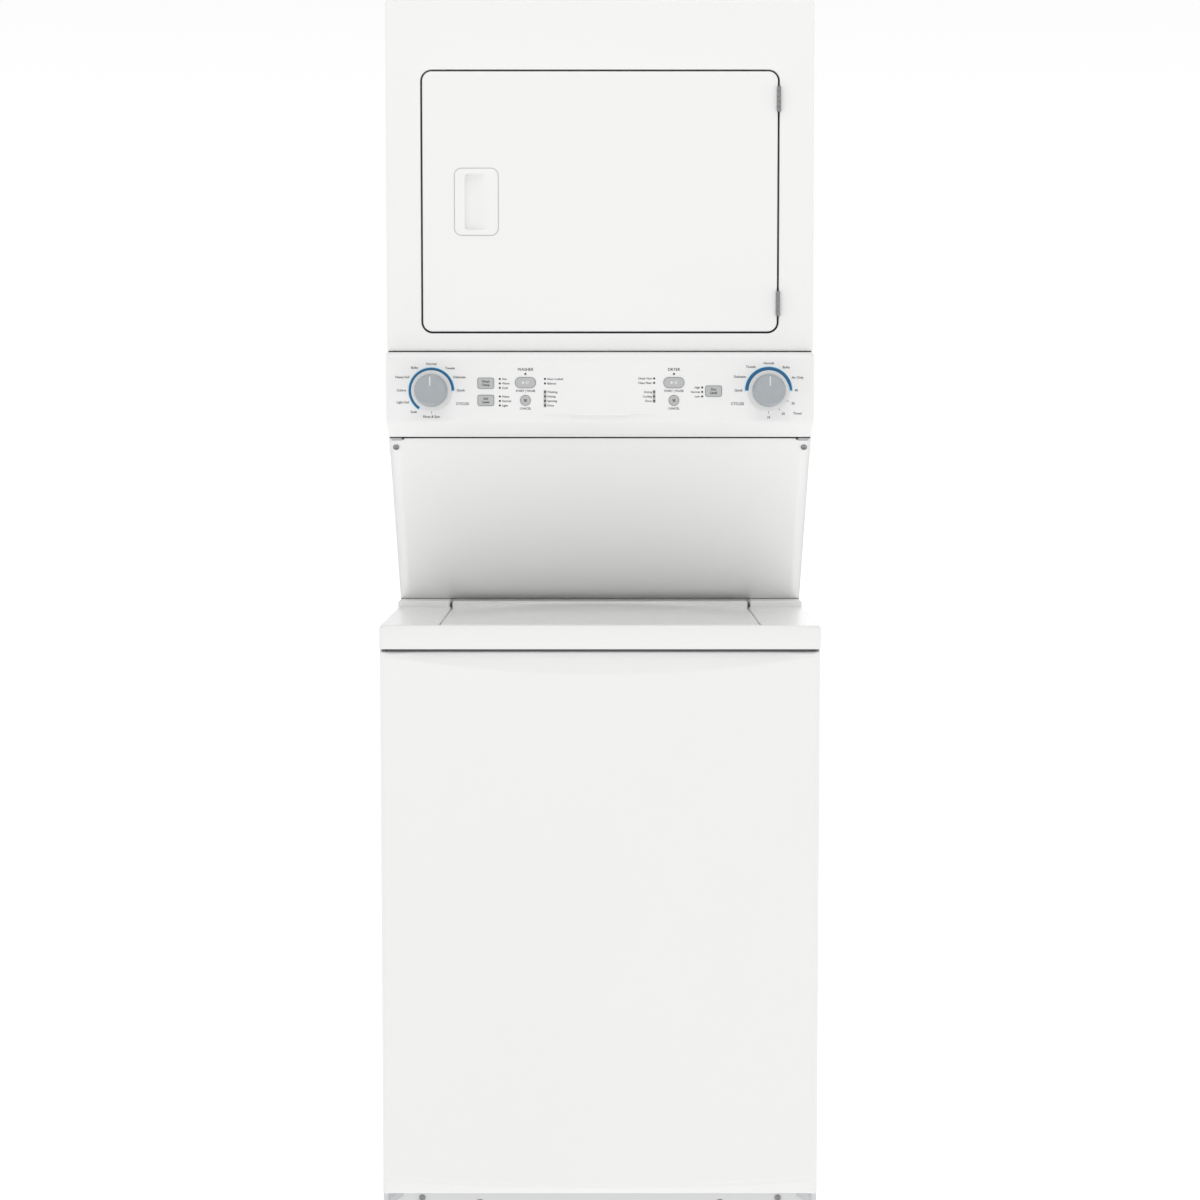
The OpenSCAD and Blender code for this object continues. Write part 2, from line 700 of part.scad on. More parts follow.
module dryer_front_panel() {
    color(enamel) difference() {
        union() {
            difference() {
                translate([0, 0, front_z]) linear_extrude(z_top - front_z)
                    front_plan(dry_hw, y_dry, y_dry + pan_d, dryer_corner_r);
                translate([0, 0, front_z + sheet]) linear_extrude(z_top - front_z - 2 * sheet)
                    front_plan(dry_hw - sheet, y_dry + sheet, y_dry + pan_d + cut, dryer_corner_r - sheet);
            }
            upright(y_dry, y_flange, axis_z)
                rounded_rect(opening_w + 2 * sheet, opening_h + 2 * sheet, door_corner_r + sheet);
        }
        upright(y_dry - cut, y_flange - sheet, axis_z) rounded_rect(opening_w, opening_h, door_corner_r);
        upright(y_dry - cut, y_flange + cut, axis_z) rounded_rect(throat_w, throat_h, throat_r);
        block([strike_x - 9, y_dry, axis_z - 14], [strike_x + 9, y_flange + cut, axis_z + 14]);
    }
}

module drum_bulkhead() {
    t = 2;
    plate_r = min(drum_r + 7, z_top - sheet - axis_z - 2);
    color(zinc) difference() {
        union() {
            upright(y_flange, y_plate, axis_z)
                rounded_rect(throat_w + 2 * t, throat_h + 2 * t, throat_r + t);
            rod_y(plate_r, y_plate - sheet, y_plate, 0, axis_z);
            rod_y(collar_r, y_plate - sheet, y_plate + 33, 0, axis_z);
        }
        upright(y_flange - cut, y_plate + cut, axis_z) rounded_rect(throat_w, throat_h, throat_r);
        rod_y(collar_r - 3, y_plate, y_plate + 34, 0, axis_z);
        block([slot_x[0], slot_y[0], axis_z - throat_h / 2 - 10],
            [slot_x[1], slot_y[1], axis_z - throat_h / 2 + 10]);
    }
}

module dryer_base() {
    color(zinc) difference() {
        union() {
            block([-dry_hw + sheet, y_dry + 40, base_pan_z],
                [dry_hw - sheet, y_rear - sheet, base_pan_z + 2]);
            block([idler_at[0] - 14, belt_y[1] + 3, base_pan_z],
                [idler_at[0] + 14, belt_y[1] + 6, idler_at[1] + 12]);
            rod_y(5, belt_y[0] - 1, belt_y[1] + 4, idler_at[0], idler_at[1]);
        }
        block([fan_x - 46, y_fan[0] + 3, base_pan_z - cut], [fan_x + 46, y_fan[1] - 3, base_pan_z + 4]);
    }
}

// ---- dryer air path and drive ----

y_fan = [y_dry + 148, y_dry + 220];
filter_h = 127;
throat_z = axis_z - throat_h / 2;

module blower_housing() {
    t = 2;
    duct = [[slot_x[0] - 4, y_dry + 28, console_z + 17], [fan_x + 61, y_dry + 52, throat_z - 2]];
    color(plastic_grey) difference() {
        union() {
            block(duct[0], duct[1]);
            rod_y(45, duct[1][1], y_fan[0], fan_x, fan_z);
            rod_y(fan_r, y_fan[0], y_fan[1], fan_x, fan_z);
            block([fan_x - 45, y_fan[0] + 4, duct_z + exhaust_r], [fan_x + 45, y_fan[1] - 4, fan_z]);
        }
        block(duct[0] + [t, t, t], duct[1] - [t, t, t]);
        block([slot_x[0], slot_y[0], duct[1][2] - t - cut], [slot_x[1], slot_y[1], duct[1][2] + cut]);
        rod_y(45 - t, duct[1][1] - t - cut, y_fan[0] + cut, fan_x, fan_z);
        rod_y(fan_r - t, y_fan[0] + t, y_fan[1] - t, fan_x, fan_z);
        rod_y(dryer_shaft_r + 1, y_fan[1] - t - cut, y_fan[1] + cut, fan_x, fan_z);
        block([fan_x - 45 + t, y_fan[0] + 4 + t, duct_z + exhaust_r - cut],
            [fan_x + 45 - t, y_fan[1] - 4 - t, fan_z - 10]);
    }
}

module exhaust_duct() {
    low = [fan_x - 55, y_fan[0] + 0, duct_z - exhaust_r - 3];
    high = [fan_x + 55, y_fan[1], duct_z + exhaust_r];
    color(zinc) difference() {
        union() {
            block(low, high);
            rod_y(duct_r, y_fan[1] - cut, y_rear + cut, fan_x, duct_z);
            rod_y(exhaust_r, y_rear, y_rear + exhaust_reach, fan_x, duct_z);
        }
        block(low + duct_t * [1, 1, 1], high - duct_t * [1, 1, 1]);
        rod_y(duct_r - duct_t, y_fan[1] - 3, y_rear + exhaust_reach + cut, fan_x, duct_z);
        block([fan_x - 43, y_fan[0] + 6, high[2] - 4], [fan_x + 43, y_fan[1] - 6, high[2] + cut]);
    }
}

module blower_wheel() {
    r = fan_r - 10;
    blades = 12;
    color(plastic_grey) difference() {
        union() {
            rod_y(r, y_fan[1] - 14, y_fan[1] - 11, fan_x, fan_z);
            rod_y(14, y_fan[0] + 20, y_fan[1] - 11, fan_x, fan_z);
            for (i = [0 : blades - 1]) translate([fan_x, 0, fan_z]) rotate([0, i * 360 / blades, 0])
                translate([r - 16, y_fan[0] + 12, -1]) cube([15, y_fan[1] - y_fan[0] - 24, 2]);
        }
        rod_y(dryer_shaft_r, y_fan[0], y_fan[1], fan_x, fan_z);
    }
}

module dryer_motor() {
    color("#55585c") difference() {
        union() {
            rod_y(motor_r, y_fan[1] + 20, y_fan[1] + 160, fan_x, fan_z);
            block([fan_x - 38, y_fan[1] + 30, base_pan_z + 2], [fan_x + 38, y_fan[1] + 150, fan_z - 20]);
        }
        rod_y(dryer_shaft_r + shaft_fit, y_fan[1] + 19, y_fan[1] + 161, fan_x, fan_z);
    }
}

module motor_shaft() {
    color(steel) {
        rod_y(dryer_shaft_r, y_fan[0] + 18, belt_y[1] + 6, fan_x, fan_z);
        rod_y(drum_pulley_r, belt_y[0] - 1, belt_y[1] + 1, fan_x, fan_z);
    }
}

module idler_pulley() {
    color(plastic_grey) difference() {
        rod_y(idler_r, belt_y[0], belt_y[1], idler_at[0], idler_at[1]);
        rod_y(5 + shaft_fit, belt_y[0] - cut, belt_y[1] + cut, idler_at[0], idler_at[1]);
    }
}

module drum_belt() {
    color(rubber) upright(belt_y[0] + 1, belt_y[1] - 1)
        belt_plan([[0, axis_z, drum_r], [idler_at[0], idler_at[1], idler_r],
            [fan_x, fan_z, drum_pulley_r]]);
}

module heater_housing() {
    r = drum_r - 35;
    y0 = y_drum[1] + 6;
    hub = 20;
    color(zinc) difference() {
        rod_y(r, y0, y_rear - sheet, 0, axis_z);
        difference() {
            rod_y(r - sheet, y0 - cut, y_rear - 2 * sheet, 0, axis_z);
            rod_y(hub, y0, y_rear, 0, axis_z);
        }
        rod_y(drum_shaft_r + shaft_fit, y0 - cut, y_rear - 2 * sheet, 0, axis_z);
    }
}

module dryer_drum() {
    color(steel) difference() {
        union() {
            rod_y(drum_r, y_drum[0], y_drum[1], 0, axis_z);
            rod_y(drum_shaft_r, y_drum[1] - cut, y_rear - 10, 0, axis_z);
        }
        rod_y(drum_r - drum_t, y_drum[0] - cut, y_drum[1] - drum_t, 0, axis_z);
    }
}

module drum_vanes() {
    base_hw = 32;
    tip_hw = 13;
    color(plastic_white) intersection() {
        rod_y(drum_r - drum_t, y_drum[0] + 44, y_drum[1] - 26, 0, axis_z);
        translate([0, 0, axis_z]) for (a = [90, 210, 330]) rotate([0, -a, 0]) upright(y_drum[0], y_drum[1])
            polygon([[drum_r, -base_hw], [drum_r, base_hw], [drum_r - vane_h + 8, tip_hw],
                     [drum_r - vane_h, tip_hw - 7], [drum_r - vane_h, -tip_hw + 7],
                         [drum_r - vane_h + 8, -tip_hw]]);
    }
}

module lint_filter() {
    x0 = slot_x[0] + 4;
    x1 = slot_x[1] - 4;
    y0 = slot_y[0] + 2;
    y1 = slot_y[1] - 2;
    top = throat_z + 1;
    rim = 7;
    web = 1;
    color(plastic_grey) difference() {
        union() {
            block([x0, y0, top - filter_h], [x1, y1, top]);
            block([slot_x[0] - 3, slot_y[0] - 3, throat_z], [slot_x[1] + 3, slot_y[1] + 3, top + 1]);
            block([(x0 + x1) / 2 - 30, y0, top - cut], [(x0 + x1) / 2 + 30, y1, top + 8]);
        }
        for (side = [[y0 - cut, (y0 + y1 - web) / 2], [(y0 + y1 + web) / 2, y1 + cut]])
            block([x0 + rim, side[0], top - filter_h + rim], [x1 - rim, side[1], top - 12]);
    }
}

// ---- dryer door ----

seal_hw = throat_w / 2 + 32;
strike_x = -(seal_hw + door_w / 2) / 2;

module door_outer() {
    color(enamel) difference() {
        upright(y_door, y_door_back, axis_z) rounded_rect(door_w, door_h, door_r);
        upright(y_door + sheet, y_door_back + cut, axis_z)
            rounded_rect(door_w - 2 * sheet, door_h - 2 * sheet, door_r - sheet);
        upright(y_door - cut, y_door + sheet + cut, axis_z, handle_x)
            rounded_rect(handle_w - 4, handle_h - 4, 9);
    }
}

module door_inner() {
    wall = 1.5;
    plug_d = y_flange + 10 - y_door_back;
    color(enamel) difference() {
        union() {
            upright(y_door_back - 1, y_door_back, axis_z)
                rounded_rect(door_w - 2 * sheet, door_h - 2 * sheet, door_r - sheet);
            upright(y_door_back - 1, y_door_back + plug_d, axis_z)
                rounded_rect(throat_w - 26, throat_h - 26, throat_r - 6);
        }
        upright(y_door_back - 2, y_door_back + plug_d - wall, axis_z)
            rounded_rect(throat_w - 26 - 2 * wall, throat_h - 26 - 2 * wall, throat_r - 6 - wall);
    }
}

module door_seal() {
    seal_h = min(throat_h + 60, door_h - 20);
    color(rubber) upright(y_door_back, y_flange - sheet - slip, axis_z) difference() {
        rounded_rect(2 * seal_hw, seal_h, throat_r + 6);
        rounded_rect(2 * seal_hw - 28, seal_h - 28, throat_r);
    }
}

module door_handle() {
    lip = 1.5;
    floor_y = y_door + door_t - 3;
    grip = [handle_x - 15, handle_x + 28];    // left and right of the finger pocket
    color(plastic_white) difference() {
        union() {
            upright(y_door - lip, y_door, axis_z, handle_x) rounded_rect(handle_w, handle_h, 11);
            upright(y_door - slip, floor_y, axis_z, handle_x) rounded_rect(handle_w - 5, handle_h - 5, 8.5);
        }
        translate([0, 0, axis_z - handle_h / 2 + 7]) linear_extrude(handle_h - 14)
            polygon([[grip[0], y_door - lip - cut], [grip[0], y_door], [grip[0] - 6, y_door + 1.5],
                     [grip[0] - 6, floor_y - 1.5], [grip[0] + 10, floor_y - 1.5], [grip[1], y_door + 1],
                     [grip[1], y_door - lip - cut]]);
    }
}

module hinge_halves(first, side) {
    knuckle_h = hinge_h / 5;
    for (mid = [axis_z + door_h / 2 - hinge_drop, axis_z - door_h / 2 + hinge_drop])
        translate([hinge_axis[0], hinge_axis[1], mid - hinge_h / 2]) {
            edge = side * door_gap / 2;
            x0 = min(edge, edge - side * leaf_t);
            translate([x0, knuckle_r + 1.4, 0]) cube([leaf_t, leaf_d, hinge_h]);
            difference() {
                for (i = [first : 2 : 4]) translate([0, 0, i * knuckle_h + slip / 2]) {
                    cylinder(r = knuckle_r, h = knuckle_h - slip, $fn = 32);
                    translate([x0, 0, 0]) cube([leaf_t, knuckle_r + 2, knuckle_h - slip]);
                }
                translate([0, 0, -cut]) cylinder(r = hinge_pin_r + (first == 1 ? shaft_fit : 0),
                    h = hinge_h + 2 * cut, $fn = 32);
            }
            if (first == 0) cylinder(r = hinge_pin_r, h = hinge_h, $fn = 32);
        }
}

module frame_hinge_leaves() {
    color(steel) hinge_halves(0, 1);
}

module door_hinge_leaves() {
    color(steel) hinge_halves(1, -1);
}

module door_strike() {
    color(zinc) {
        block([strike_x - 6, y_door_back, axis_z - 8], [strike_x + 6, y_door_back + 1.5, axis_z + 8]);
        block([strike_x - 1.5, y_door_back + 1, axis_z - 5], [strike_x + 1.5, y_flange + 9, axis_z + 5]);
    }
}

module door_catch() {
    color(plastic_grey) difference() {
        block([strike_x - 13, y_flange, axis_z - 18], [strike_x + 13, y_flange + 18, axis_z + 18]);
        block([strike_x - 5, y_flange - cut, axis_z - 8], [strike_x + 5, y_flange + 14, axis_z + 8]);
    }
}

// ---- console ----

module console_section(inset) {
    b = y_console_back + (inset > 0 ? cut : 0);
    polygon([[b, console_z + inset], [y_face + 30, console_z + inset],
        [y_face + 8 + inset, console_z + 14 + inset / 2],
             [y_face + inset, console_z + 25], [y_face + inset, console_top - 12],
                 [y_face + 4 + inset, console_top - 3 - inset / 2],
             [y_face + 10, console_top - inset], [b, console_top - inset]]);
}

module console_fascia() {
    color(plastic_white) difference() {
        across(-dry_hw, dry_hw) console_section(0);
        across(-dry_hw + console_t, dry_hw - console_t) console_section(console_t);
        for (sx = [-1, 1]) rod_y(knob_hole_r, y_face - cut, y_face + console_t + cut, sx * knob_x, knob_z);
        for (b = BUTTONS) upright(y_face - cut, y_face + console_t + cut, console_z + b[1], b[0])
            rounded_rect(b[2] + 2 * button_gap, b[3] + 2 * button_gap, b[4] + button_gap);
    }
}

module button(b) {
    proud = 2.2;
    color(plastic_grey) {
        upright(y_face - proud, y_face + console_t + slip + 1, console_z + b[1], b[0])
            rounded_rect(b[2], b[3], b[4]);
        upright(y_face + console_t + slip, y_face + console_t + slip + 1.6, console_z + b[1], b[0])
            rounded_rect(b[2] + 3, b[3] + 3, min(b[4] + 1.5, (b[3] + 3) / 2 - 0.1));
    }
}

module indicator_lights() {
    color(rubber) for (c = LAMPS, i = [0 : c[2] - 1])
        rod_y(lamp_r, y_face - lamp_t, y_face, c[0], console_z + c[1] - i * lamp_pitch);
}

module control_board() {
    color(board_green) difference() {
        union() {
            block([-knob_x - 22, board_y, console_z + 40], [knob_x + 22, board_y + 1.6, console_z + 112]);
            for (sx = [-1, 1]) rod_y(12, board_y - 16, board_y + 1, sx * knob_x, knob_z);
            for (sx = [-1, 1], x = [40, knob_x - 32])
                rod_y(4, y_face + console_t, board_y + 1, sx * x, console_z + 104);
        }
        for (sx = [-1, 1]) rod_y(knob_shaft_r + shaft_fit, board_y - 17, board_y - 2, sx * knob_x, knob_z);
    }
}

module knob(x) {
    gap = 1.6;                      // between the skirt and the console's face
    y0 = y_face - gap;
    depth = 38;
    cap_r = knob_r - 6;
    color(plastic_grey) translate([x, 0, knob_z]) {
        translate([0, y0, 0]) rotate([90, 0, 0]) rotate_extrude()
            polygon([[0, 0], [knob_r, 0], [knob_r, 2.5], [knob_r - 2, 4.5], [cap_r + 2, 5.5],
                     [cap_r, depth - 2], [cap_r - 2, depth], [0, depth]]);
        rod_y(knob_shaft_r, y0 - 1, board_y - 3);
    }
}

// ---- small outside parts ----

module screw() {
    head_r = 5;
    difference() {
        union() {
            cylinder(r = head_r, h = 1.6);
            translate([0, 0, 1.6]) cylinder(r1 = head_r, r2 = head_r - 2, h = 1.2);
        }
        for (a = [0, 90]) rotate([0, 0, a]) translate([-2.4, -0.6, 1.4]) cube([4.8, 1.2, 2]);
    }
}

module panel_screws() {
    along = slope_run / slope_len;
    on_slope = slope_head - 18 * along;
    color(steel) {
        for (s = [-1, 1]) translate([s * (dry_hw - 10), on_slope[0], on_slope[1]])
            rotate([90 + slope_tilt, 0, 0]) screw();
        for (s = [-1, 1]) translate([s * toe_screw_x, frame_front, toe_screw_z]) rotate([90, 0, 0]) screw();
        for (s = [-1, 1], z = [ledge_z + 30, duct_z + 130, axis_z + 40, z_top - 30])
            translate([s * (dry_hw - 14), y_rear, z]) rotate([-90, 0, 0]) screw();
    }
}

cord_x = -(dry_hw - 160);
cord_hole_r = 11.1;

module terminal_cover() {
    t = 1.5;
    low = [cord_x - 55, y_rear, duct_z + 10];
    high = [cord_x + 55, y_rear + 26, duct_z + 95];
    color(zinc) difference() {
        block(low, high);
        block(low + [t, -cut, t], high - [t, t, t]);
        rod_z(cord_hole_r, low[2] - cut, low[2] + t + cut, [cord_x, y_rear + 13]);
    }
}

// ---- one node at a time, or all together ----

washer_cabinet();
washer_front_panel();
base_frame();
leveling_legs();
top_deck();
suspension_rods();
suspension_springs();
inlet_valve();
drain_pump();
dryer_cabinet();
dryer_front_panel();
drum_bulkhead();
rear_panel();
sloped_panel();
panel_screws();
console_fascia();
indicator_lights();
control_board();
frame_hinge_leaves();
heater_housing();
blower_housing();
dryer_motor();
drum_belt();
exhaust_duct();
terminal_cover();
dryer_base();
door_catch();
washer_lid();
lid_liner();
door_outer();
door_inner();
door_seal();
door_handle();
door_hinge_leaves();
door_strike();
dryer_drum();
drum_vanes();
motor_shaft();
blower_wheel();
idler_pulley();
lint_filter();
outer_tub();
tub_cover();
gearcase();
washer_motor();
washer_belt();
wash_basket();
balance_ring();
agitator();
tub_pulley();
motor_pulley();
knob(-knob_x);  // washer_knob
knob(knob_x);  // dryer_knob
button(temperature);  // temperature_button
button(level);  // level_button
button(washer_start);  // washer_start_button
button(washer_cancel);  // washer_cancel_button
button(dryness);  // dryness_button
button(dryer_start);  // dryer_start_button
button(dryer_cancel);  // dryer_cancel_button
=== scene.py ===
import json
import logging
from collections.abc import Sequence
from dataclasses import dataclass, field
from enum import Enum
from math import cos, pi, radians, sin

import bmesh
import bpy
import numpy as np
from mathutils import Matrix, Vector


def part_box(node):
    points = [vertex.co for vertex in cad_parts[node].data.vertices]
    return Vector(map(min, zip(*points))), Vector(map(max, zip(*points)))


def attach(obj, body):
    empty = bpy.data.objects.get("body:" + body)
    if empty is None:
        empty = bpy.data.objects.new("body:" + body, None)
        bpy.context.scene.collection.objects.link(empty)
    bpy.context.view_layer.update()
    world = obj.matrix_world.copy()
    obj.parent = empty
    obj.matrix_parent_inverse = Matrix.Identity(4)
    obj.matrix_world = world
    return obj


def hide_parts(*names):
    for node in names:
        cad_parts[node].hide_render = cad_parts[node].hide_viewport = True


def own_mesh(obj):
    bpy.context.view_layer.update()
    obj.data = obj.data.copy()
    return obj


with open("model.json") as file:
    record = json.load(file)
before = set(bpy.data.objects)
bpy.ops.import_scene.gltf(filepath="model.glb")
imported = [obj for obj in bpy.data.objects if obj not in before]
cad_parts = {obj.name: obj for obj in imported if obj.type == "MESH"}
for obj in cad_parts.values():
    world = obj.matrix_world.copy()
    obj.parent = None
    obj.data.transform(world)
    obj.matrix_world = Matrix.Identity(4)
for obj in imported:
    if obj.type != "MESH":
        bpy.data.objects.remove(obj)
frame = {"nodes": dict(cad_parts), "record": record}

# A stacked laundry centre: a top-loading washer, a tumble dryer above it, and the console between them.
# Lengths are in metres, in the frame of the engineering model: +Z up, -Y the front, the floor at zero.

log = logging.getLogger("laundry_centre")
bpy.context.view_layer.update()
Array = np.ndarray
Piece = bpy.types.Object
MM = 0.001
join = np.concatenate


# ---------------------------------------------------------------- shader maths and finishes

class Wire:
    """A shader socket that can stand in sums; each operator adds one Math node."""

    def __init__(self, graph: "Graph", socket: bpy.types.NodeSocket) -> None:
        """Wraps a socket of a graph."""
        self.graph = graph
        self.socket = socket

    def _join(self, operation: str, *terms: "Wire | float") -> "Wire":
        """Adds a Math node of that operation on the terms."""
        return self.graph.node("ShaderNodeMath", {"operation": operation}, dict(enumerate(terms)))

    def __add__(self, other: "Wire | float") -> "Wire":
        """Sum."""
        return self._join("ADD", self, other)

    def __sub__(self, other: "Wire | float") -> "Wire":
        """Difference."""
        return self._join("SUBTRACT", self, other)

    def __rsub__(self, other: float) -> "Wire":
        """Difference with the number first, so that 1 - mask works."""
        return self._join("SUBTRACT", other, self)

    def __mul__(self, other: "Wire | float") -> "Wire":
        """Product."""
        return self._join("MULTIPLY", self, other)

    __radd__ = __add__
    __rmul__ = __mul__

    def ramp(self, low: float, high: float, start: float = 0.0, end: float = 1.0) -> "Wire":
        """Start below low, end above high and smooth between."""
        return self.graph.node("ShaderNodeMapRange", {"interpolation_type": "SMOOTHSTEP"},
                               {"Value": self, "From Min": low, "From Max": high,
                                "To Min": start, "To Max": end})

    def beside(self, outlet: str) -> "Wire":
        """Another output of the same node."""
        return Wire(self.graph, self.socket.node.outputs[outlet])


class Graph:
    """The node tree of one material, or of the world."""

    def __init__(self, owner: bpy.types.Material | bpy.types.World) -> None:
        """Starts with the owner's tree, emptied."""
        self.owner = owner
        owner.use_nodes = True
        self.tree = owner.node_tree
        self.tree.nodes.clear()

    def node(self, kind: str, settings: dict | None = None, inputs: dict | None = None,
             outlet: str | int = 0) -> Wire:
        """Adds any node.

        Args:
            kind: the node's Blender type.
            settings: attributes of the node, set before its sockets.
            inputs: socket name or number to a value or a Wire.
            outlet: the output socket to return.

        Returns:
            The output socket as a Wire.
        """
        made = self.tree.nodes.new(kind)
        for key, value in (settings or {}).items():
            setattr(made, key, value)
        for key, value in (inputs or {}).items():
            if isinstance(value, Wire):
                self.tree.links.new(value.socket, made.inputs[key])
            else:
                made.inputs[key].default_value = value
        return Wire(self, made.outputs[outlet])

    def place(self, stretch: tuple[float, float, float] = (1.0, 1.0, 1.0)) -> Wire:
        """Object coordinates, stretched along each axis."""
        here = self.node("ShaderNodeTexCoord", outlet="Object")
        return self.node("ShaderNodeMapping", inputs={"Vector": here, "Scale": stretch})

    def noise(self, scale: float, detail: float = 2.0, at: Wire | None = None) -> Wire:
        """Fractal noise from 0 to 1 with that many features a metre."""
        return self.node("ShaderNodeTexNoise", inputs={"Vector": at or self.place(), "Scale": scale,
                                                       "Detail": detail}, outlet="Fac")

    def blend(self, share: "Wire | float", first: Sequence[float], second: Sequence[float]) -> Wire:
        """A colour between two colours."""
        return self.node("ShaderNodeMix", {"data_type": "RGBA"},
                         {0: share, 6: (*first, 1.0), 7: (*second, 1.0)}, outlet=2)

    def bump(self, height: Wire, depth: float, strength: float = 1.0) -> Wire:
        """A normal that follows a height from 0 to 1 times depth."""
        return self.node("ShaderNodeBump", inputs={"Height": height, "Distance": depth, "Strength": strength})

    def finish(self, **sockets: "Wire | float | Sequence[float]") -> bpy.types.Material:
        """Ends the material in a Principled shader; Base_Color means the socket Base Color."""
        named = {key.replace("_", " "): value for key, value in sockets.items()}
        shader = self.node("ShaderNodeBsdfPrincipled", inputs=named, outlet="BSDF")
        self.end(shader, "ShaderNodeOutputMaterial")
        return self.owner

    def end(self, shader: Wire, kind: str) -> None:
        """Connects a shader to an output node of that kind."""
        out = self.tree.nodes.new(kind)
        self.tree.links.new(shader.socket, out.inputs["Surface"])


@dataclass(frozen=True)
class Finish:
    """A surface finish: a colour, its gloss, and the texture that its subclass gives it."""

    name: str
    colour: tuple[float, float, float]
    roughness: float = 0.35
    metallic: float = 0.0
    slot: str = "enamel_white"

    def shade(self, shade: float) -> tuple[float, float, float]:
        """The colour made darker or lighter by a factor."""
        return tuple(min(1.0, channel * shade) for channel in self.colour)

    def material(self) -> bpy.types.Material:
        """The finish's material, made the first time it is asked for."""
        found = bpy.data.materials.get(self.name)
        return found or self.build(Graph(bpy.data.materials.new(self.name)))

    def build(self, g: Graph) -> bpy.types.Material:
        """Makes the material; a plain finish varies a little in tone and gloss."""
        cloud = g.noise(9.0)
        return g.finish(Base_Color=g.blend(cloud, self.shade(0.97), self.shade(1.03)),
                        Roughness=cloud * 0.06 + (self.roughness - 0.03), Metallic=self.metallic)


@dataclass(frozen=True)
class Enamel(Finish):
    """Baked enamel on sheet steel: a clear gloss over a faint orange-peel ripple."""

    ripples: float = 420.0          # in a metre
    ripple_depth: float = 0.02 * MM

    def build(self, g: Graph) -> bpy.types.Material:
        """Adds ripple and slow tonal drift under a clear coat."""
        drift = g.noise(2.2, 3.0)
        peel = g.noise(self.ripples, 1.0)
        return g.finish(Base_Color=g.blend(drift, self.shade(0.985), self.shade(1.01)),
                        Roughness=g.noise(60.0) * 0.05 + self.roughness,
                        Normal=g.bump(peel, self.ripple_depth, 0.35), Coat_Weight=0.25, Coat_Roughness=0.12)


@dataclass(frozen=True)
class Moulded(Finish):
    """Injection-moulded plastic with a fine spark-eroded grain."""

    grain: float = 0.03 * MM        # how deep the grain is
    grains: float = 1400.0          # in a metre

    def build(self, g: Graph) -> bpy.types.Material:
        """Adds the grain and a little mottling."""
        grain = g.noise(self.grains, 2.0)
        cloud = g.noise(14.0, 2.0)
        return g.finish(Base_Color=g.blend(cloud, self.shade(0.975), self.shade(1.015)),
                        Roughness=grain * 0.10 + (self.roughness - 0.05),
                        Normal=g.bump(grain, self.grain, 0.5))


@dataclass(frozen=True)
class Galvanised(Finish):
    """Hot-dip zinc: crystals of slightly different grey."""

    crystals: float = 70.0          # in a metre
    step: float = 0.02 * MM         # between one crystal's height and the next

    def build(self, g: Graph) -> bpy.types.Material:
        """Gives each crystal its own tone and gloss."""
        crystal = g.node("ShaderNodeTexVoronoi", inputs={"Vector": g.place(), "Scale": self.crystals},
                         outlet="Color")
        tone = g.node("ShaderNodeSeparateColor", inputs={"Color": crystal})
        scuff = g.noise(25.0, 4.0)
        return g.finish(Base_Color=g.blend(tone, self.shade(0.86), self.shade(1.06)), Metallic=self.metallic,
                        Roughness=tone * 0.16 + scuff * 0.12 + (self.roughness - 0.14),
                        Normal=g.bump(tone, self.step, 0.3))


@dataclass(frozen=True)
class Brushed(Finish):
    """Steel or alloy with fine lines drawn along one axis."""

    stretch: tuple[float, float, float] = (1.0, 1.0, 40.0)
    groove: float = 0.02 * MM       # how deep a brush line is

    def build(self, g: Graph) -> bpy.types.Material:
        """Stretches noise into brush lines."""
        lines = g.noise(70.0, 3.0, g.place(self.stretch))
        return g.finish(Base_Color=g.blend(lines, self.shade(0.90), self.shade(1.05)), Metallic=self.metallic,
                        Roughness=lines * 0.14 + (self.roughness - 0.07),
                        Normal=g.bump(lines, self.groove, 0.4))


@dataclass(frozen=True)
class Rubber(Finish):
    """Matt rubber with dusty high spots."""

    skin_depth: float = 0.05 * MM

    def build(self, g: Graph) -> bpy.types.Material:
        """Adds bloom and a fine skin texture."""
        dust = g.noise(90.0, 5.0).ramp(0.45, 0.75)
        skin = g.noise(900.0, 2.0)
        return g.finish(Base_Color=g.blend(dust, self.colour, self.shade(1.45)),
                        Roughness=dust * 0.08 + self.roughness, Normal=g.bump(skin, self.skin_depth, 0.5))


@dataclass(frozen=True)
class Cast(Finish):
    """Die-cast metal with a pebbled skin."""

    pebble_depth: float = 0.1 * MM

    def build(self, g: Graph) -> bpy.types.Material:
        """Adds the pebbled skin and a slow, cloudy change of tone."""
        pebble = g.noise(650.0, 3.0)
        cloud = g.noise(30.0, 3.0)
        return g.finish(Base_Color=g.blend(cloud, self.shade(0.88), self.shade(1.05)), Metallic=self.metallic,
                        Roughness=pebble * 0.15 + (self.roughness - 0.07),
                        Normal=g.bump(pebble, self.pebble_depth, 0.5))


